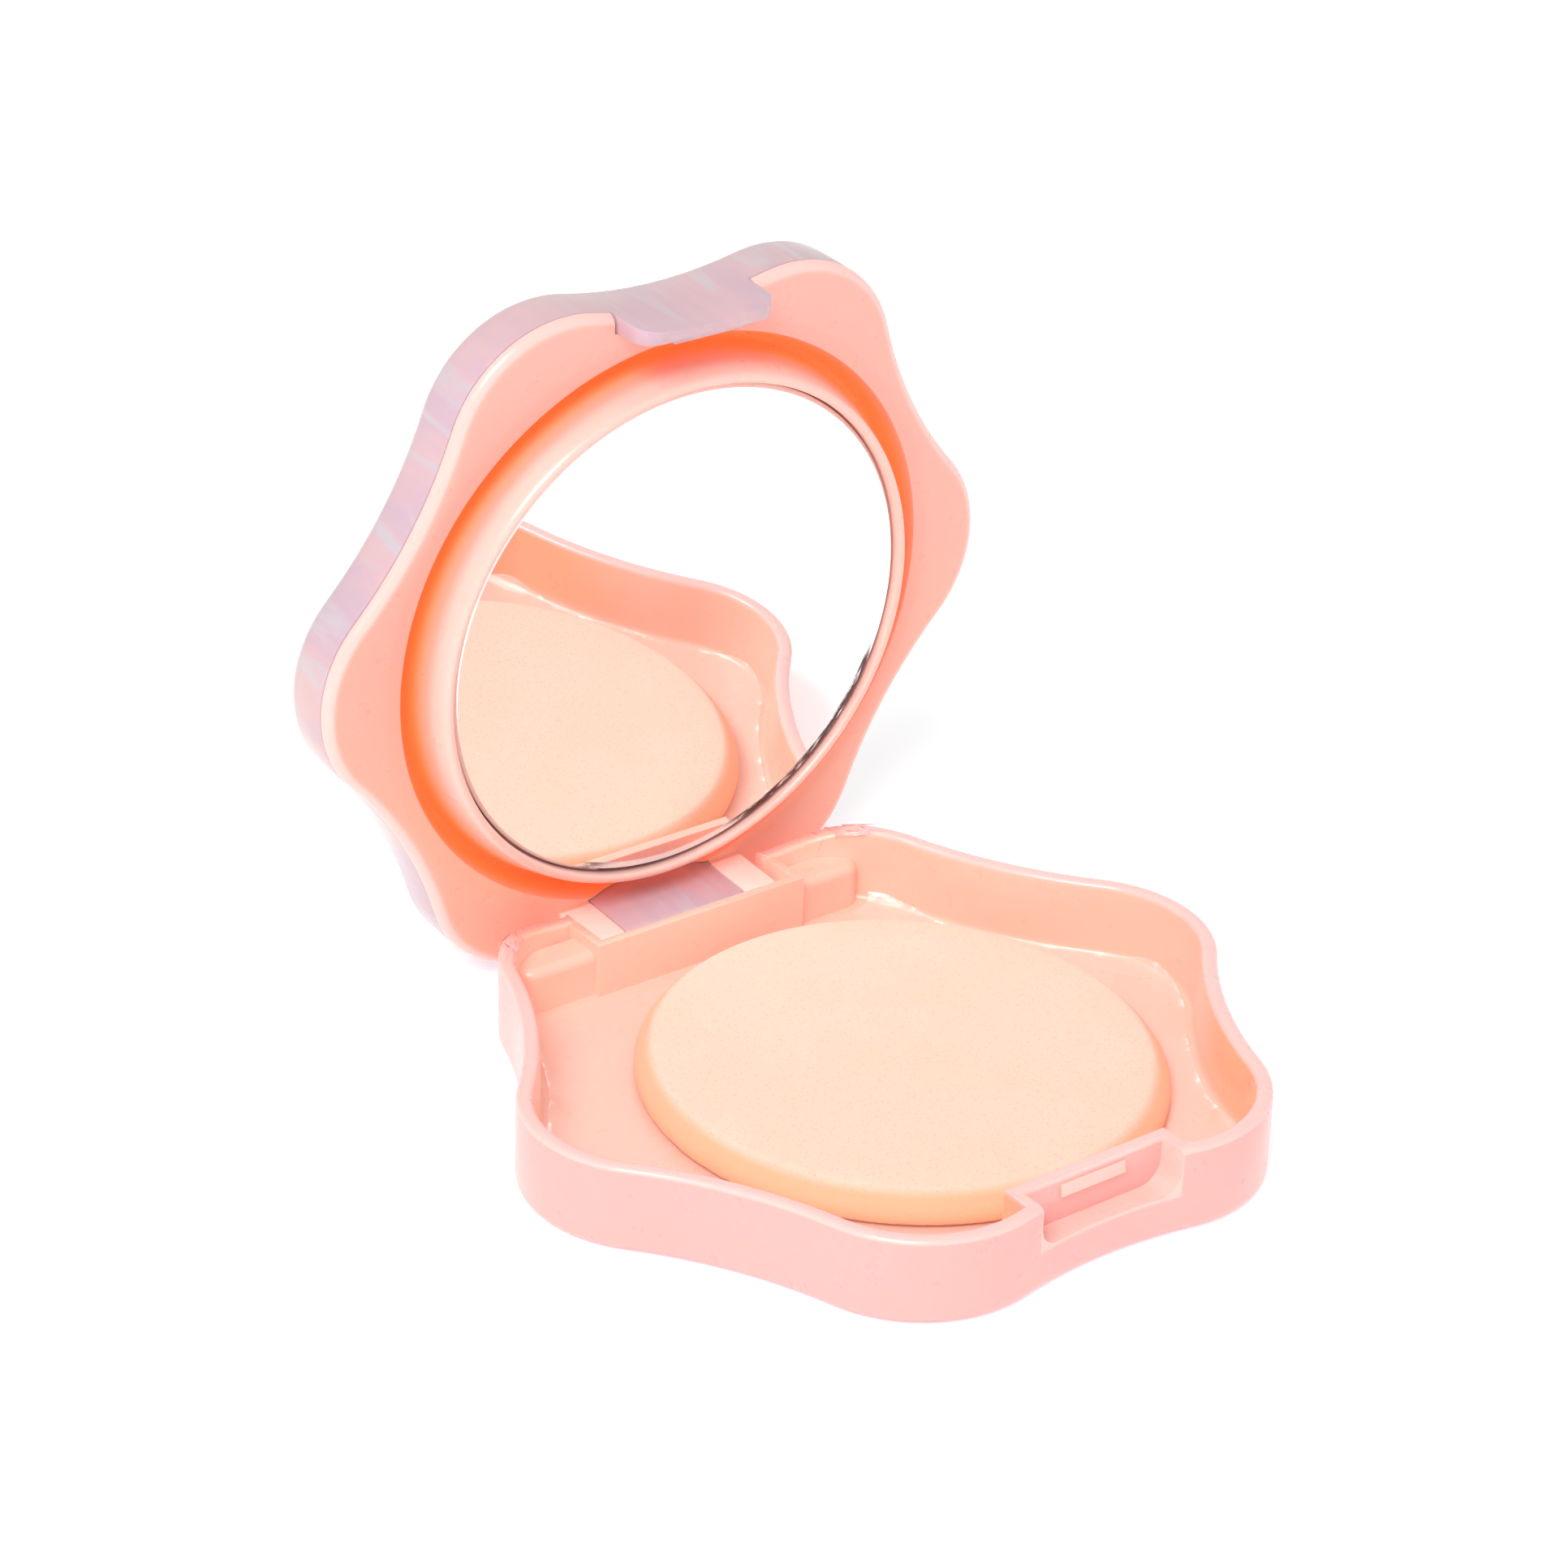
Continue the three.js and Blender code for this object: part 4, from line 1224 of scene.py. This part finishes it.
# %% Mirror and steel
def mirror_reads(tree, vector):
    """Across, along, radius and height in mm on the mirror, from its own centre."""
    across, along, up = place(tree, "SeparateXYZ", None, Vector=vector).outputs
    along = math_node(tree, "ADD", along, PIN_Y)
    square = math_node(tree, "MULTIPLY", across, across)
    radius = math_node(tree, "SQRT", math_node(tree, "MULTIPLY_ADD", along, along, square))
    return across, along, radius, math_node(tree, "ADD", up, PIN_Z)


def reflection_border(tree, across, along, radius):
    """The border next to the hinge where a dark reflection is painted, and the silver patches that
    break it up.
    """
    corner = span(tree, math_node(tree, "MULTIPLY_ADD", across, 0.45, along), 18.5, 21.0)
    border = span(tree, radius, MIRROR_R - 1.2, MIRROR_R - 0.95)
    turn = math_node(tree, "ARCTAN2", along, across)
    wrapped = place(
        tree, "CombineXYZ", None, i0=math_node(tree, "MULTIPLY", turn, 7.0),
        i1=math_node(tree, "MULTIPLY", radius, 1.6),
    ).outputs[0]
    silver_patches = span(tree, noise_of(tree, wrapped, 1.0, 5.0, 0.75), 0.5, 0.62)
    return math_node(tree, "MULTIPLY", corner, border), silver_patches


# Painted reflection: this dark colour stands in for the dark reflections at the mirror's border and
# edge.
DARK_REFLECTION = (0.10, 0.05, 0.05, 1)
SILVER = (0.97, 0.97, 0.97, 1)
mirror_silver, tree, shader, vector = start_material("mirror_silver", OPEN_ANGLE)
across, along, radius, up = mirror_reads(tree, vector)
wear_and_reflection, silver_patches = reflection_border(tree, across, along, radius)
# Painted reflection: next to the hinge a dark, dull border broken by silver patches stands in for
# the reflection of the glass's edge; the strip nearest the hinge stays silver.
bright = math_node(tree, "MAXIMUM", silver_patches, span(tree, along, 24.3, 25.6))
painted_reflection = math_node(tree, "MULTIPLY", wear_and_reflection, math_node(tree, "SUBTRACT", 1.0, bright))
link_in(tree, blend_colour(tree, painted_reflection, SILVER, DARK_REFLECTION), shader, "Base Color")
link_in(tree, math_node(tree, "MULTIPLY_ADD", wear_and_reflection, -0.6, 1.0), shader, "Metallic")
smear = span(tree, noise_of(tree, vector, 0.15, 4.0, 0.6), 0.5, 0.8, 0.0, 0.01)
link_in(tree, math_node(tree, "MULTIPLY_ADD", wear_and_reflection, 0.25, smear), shader, "Roughness")

mirror_edge, tree, shader, vector = start_material("mirror_edge", OPEN_ANGLE)
across, along, radius, up = mirror_reads(tree, vector)
wear_and_reflection, silver_patches = reflection_border(tree, across, along, radius)
# Painted shade and reflection: next to the hinge the ground edge is made dark in patches, and on
# the left side only its side and back are made dark.
dark_patches = math_node(tree, "MULTIPLY", wear_and_reflection, math_node(tree, "SUBTRACT", 1.0, silver_patches))
left_side = span(tree, math_node(tree, "SUBTRACT", along, across), 4.0, 16.0)
line = math_node(tree, "MULTIPLY", span(tree, up, MIRROR_Z + 0.2, MIRROR_Z + 0.45), left_side)
dark = math_node(tree, "MAXIMUM", dark_patches, line)
link_in(tree, blend_colour(tree, dark, SILVER, DARK_REFLECTION), shader, "Base Color")
link_in(tree, span(tree, dark, 0.0, 1.0, 0.1, 0.4), shader, "Roughness")
bump = place(tree, "Bump", None, Strength=0.3, Distance=0.0001, Height=dark_patches)
link_in(tree, bump.outputs[0], shader, "Normal")
set_shader(shader, Metallic=0.9)

drawn_steel, tree, shader, vector = start_material("drawn_steel")
rings = place(tree, "Mapping", None, Vector=vector, Scale=(8.0, 0.6, 0.6)).outputs[0]
lines = noise_of(tree, rings, 1.5, 4.0, 0.65)
tarnish = use_group(tree, colour_drift, Vector=vector, Scale=0.3, Main=(0.62, 0.61, 0.60, 1),
                    Other=(0.45, 0.43, 0.41, 1))["Color"]
link_in(tree, tarnish, shader, "Base Color")
link_in(tree, span(tree, lines, 0.3, 0.7, 0.2, 0.38), shader, "Roughness")
bump = place(tree, "Bump", None, Strength=0.2, Distance=0.00003, Height=lines)
link_in(tree, bump.outputs[0], shader, "Normal")
set_shader(shader, Metallic=1.0)
print("mirror and steel ready")

# %% [markdown]
# ## Handing the pieces over
# Each piece gets its finish, rides on a body of the frame and stands for one node, whose plain
# solid is hidden. The table also lists the slot its finish belongs to, which nothing here reads.
# The mirror has two finishes: the ring round its flat face is the edge.

# %% Finish, ride, replace
PIECES = [
    (tray, tray_coral, "base", "base_tray", "coral_plastic"),
    (hinge_rod, drawn_steel, "base", "hinge_pin", "pin_steel"),
    (floor_film, clear_film, "base", "clear_liner", "clear_film"),
    (puff_sponge, puff_foam, "puff", "puff", "sponge"),
    (lid_shell, pearl_shell, "lid", "lid_outer_shell", "pearl_shell"),
    (pearl_sheet, pearl_print, "lid", "lid_pearl_film", "pearl_film"),
    (mirror_frame, frame_coral, "lid", "lid_inner_frame", "coral_plastic"),
    (mirror_plate, mirror_edge, "lid", "mirror_glass", "mirror"),
    (foam_tape, tape_foam, "lid", "mirror_adhesive_pad", "adhesive"),
]
for piece, finish, body, node, slot in PIECES:
    piece.data.materials.clear()
    piece.data.materials.append(finish)
    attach(piece, body)
    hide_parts(node)
mirror_plate.data.materials.append(mirror_silver)
for index in GLASS_FACE:
    mirror_plate.data.polygons[index].material_index = 1
print("pieces:", [piece.name for piece, *rest in PIECES])

# %% [markdown]
# ## Floor, light and camera
# A product like this is shown on white: a wide pale floor, a white surround that lights it evenly,
# and one large soft lamp from the upper left that gives the edges their glints. The camera stands
# to the left of the latch, a little under thirty degrees up, with a long lens. Two things here are
# not how real light works: the floor gives off a little light of its own, which keeps it white, and
# the surround lights the pieces less than it shows in reflections, which keeps their colours deep.

# %% Floor and light
FLOOR_SIZE_M = 6.0
FLOOR_DROP_M = 0.0002
FLOOR_GLOW = 0.35
deselect()
bpy.ops.mesh.primitive_plane_add(size=FLOOR_SIZE_M, location=(0, 0, -FLOOR_DROP_M))
floor = bpy.context.object
floor.name = "studio_floor"
floor_paper, tree, shader, vector = start_material("floor_paper")
fibre = noise_of(tree, vector, 0.5, 4.0, 0.6)
link_in(tree, span(tree, fibre, 0.3, 0.7, 0.75, 0.85), shader, "Roughness")
set_shader(shader, Base_Color=(0.98, 0.98, 0.98, 1), Specular_IOR_Level=0.1,
           Emission_Color=(1, 1, 1, 1), Emission_Strength=FLOOR_GLOW)
floor.data.materials.append(floor_paper)

SURROUND_LIGHT = 0.6
world = bpy.data.worlds.new("white_surround")
world.use_nodes = True
surround = world.node_tree.nodes["Background"]
surround.inputs["Color"].default_value = (1, 1, 1, 1)
path = place(world.node_tree, "LightPath").outputs["Is Diffuse Ray"]
world.node_tree.links.new(
    math_node(world.node_tree, "MULTIPLY_ADD", path, SURROUND_LIGHT - 1.0, 1.0),
    surround.inputs["Strength"],
)
bpy.context.scene.world = world


def soft_lamp(name, place_mm, aim_mm, size_mm, watts):
    deselect()
    bpy.ops.object.light_add(type="AREA", location=[v * MM for v in place_mm])
    lamp = bpy.context.object
    lamp.name = name
    lamp.data.shape = "DISK"
    lamp.data.size = size_mm * MM
    lamp.data.energy = watts
    aim = Vector(aim_mm) - Vector(place_mm)
    lamp.rotation_euler = aim.to_track_quat("-Z", "Y").to_euler()
    return lamp


KEY_AT = (-520, -360, 760)
KEY_AIM = (0, 0, 20)
KEY_SIZE = 520
KEY_WATTS = 6.5
key = soft_lamp("key_lamp", KEY_AT, KEY_AIM, KEY_SIZE, KEY_WATTS)
print("key lamp at", [round(v, 2) for v in key.location])

# %% Camera
AZIMUTH = math.radians(-37.687)
ELEVATION = math.radians(27.807)
ROLL = math.radians(1.984)
DISTANCE = 428.863
TARGET = Vector((-5.574, 9.150, 32.284))
back = Vector((
    math.sin(AZIMUTH) * math.cos(ELEVATION), -math.cos(AZIMUTH) * math.cos(ELEVATION),
    math.sin(ELEVATION),
))
right = Vector((0, 0, 1)).cross(back).normalized()
up = back.cross(right)
level = Matrix((right, up, back)).transposed()
deselect()
bpy.ops.object.camera_add(location=(TARGET + back * DISTANCE) * MM)
camera = bpy.context.object
camera.rotation_euler = (level @ Matrix.Rotation(ROLL, 3, "Z")).to_euler()
camera.data.lens = 102.13
camera.data.sensor_width = 36.0
camera.data.clip_start = 0.01
bpy.context.scene.camera = camera
bpy.context.scene.view_settings.view_transform = "Standard"
print("camera at", [round(v, 3) for v in camera.location])
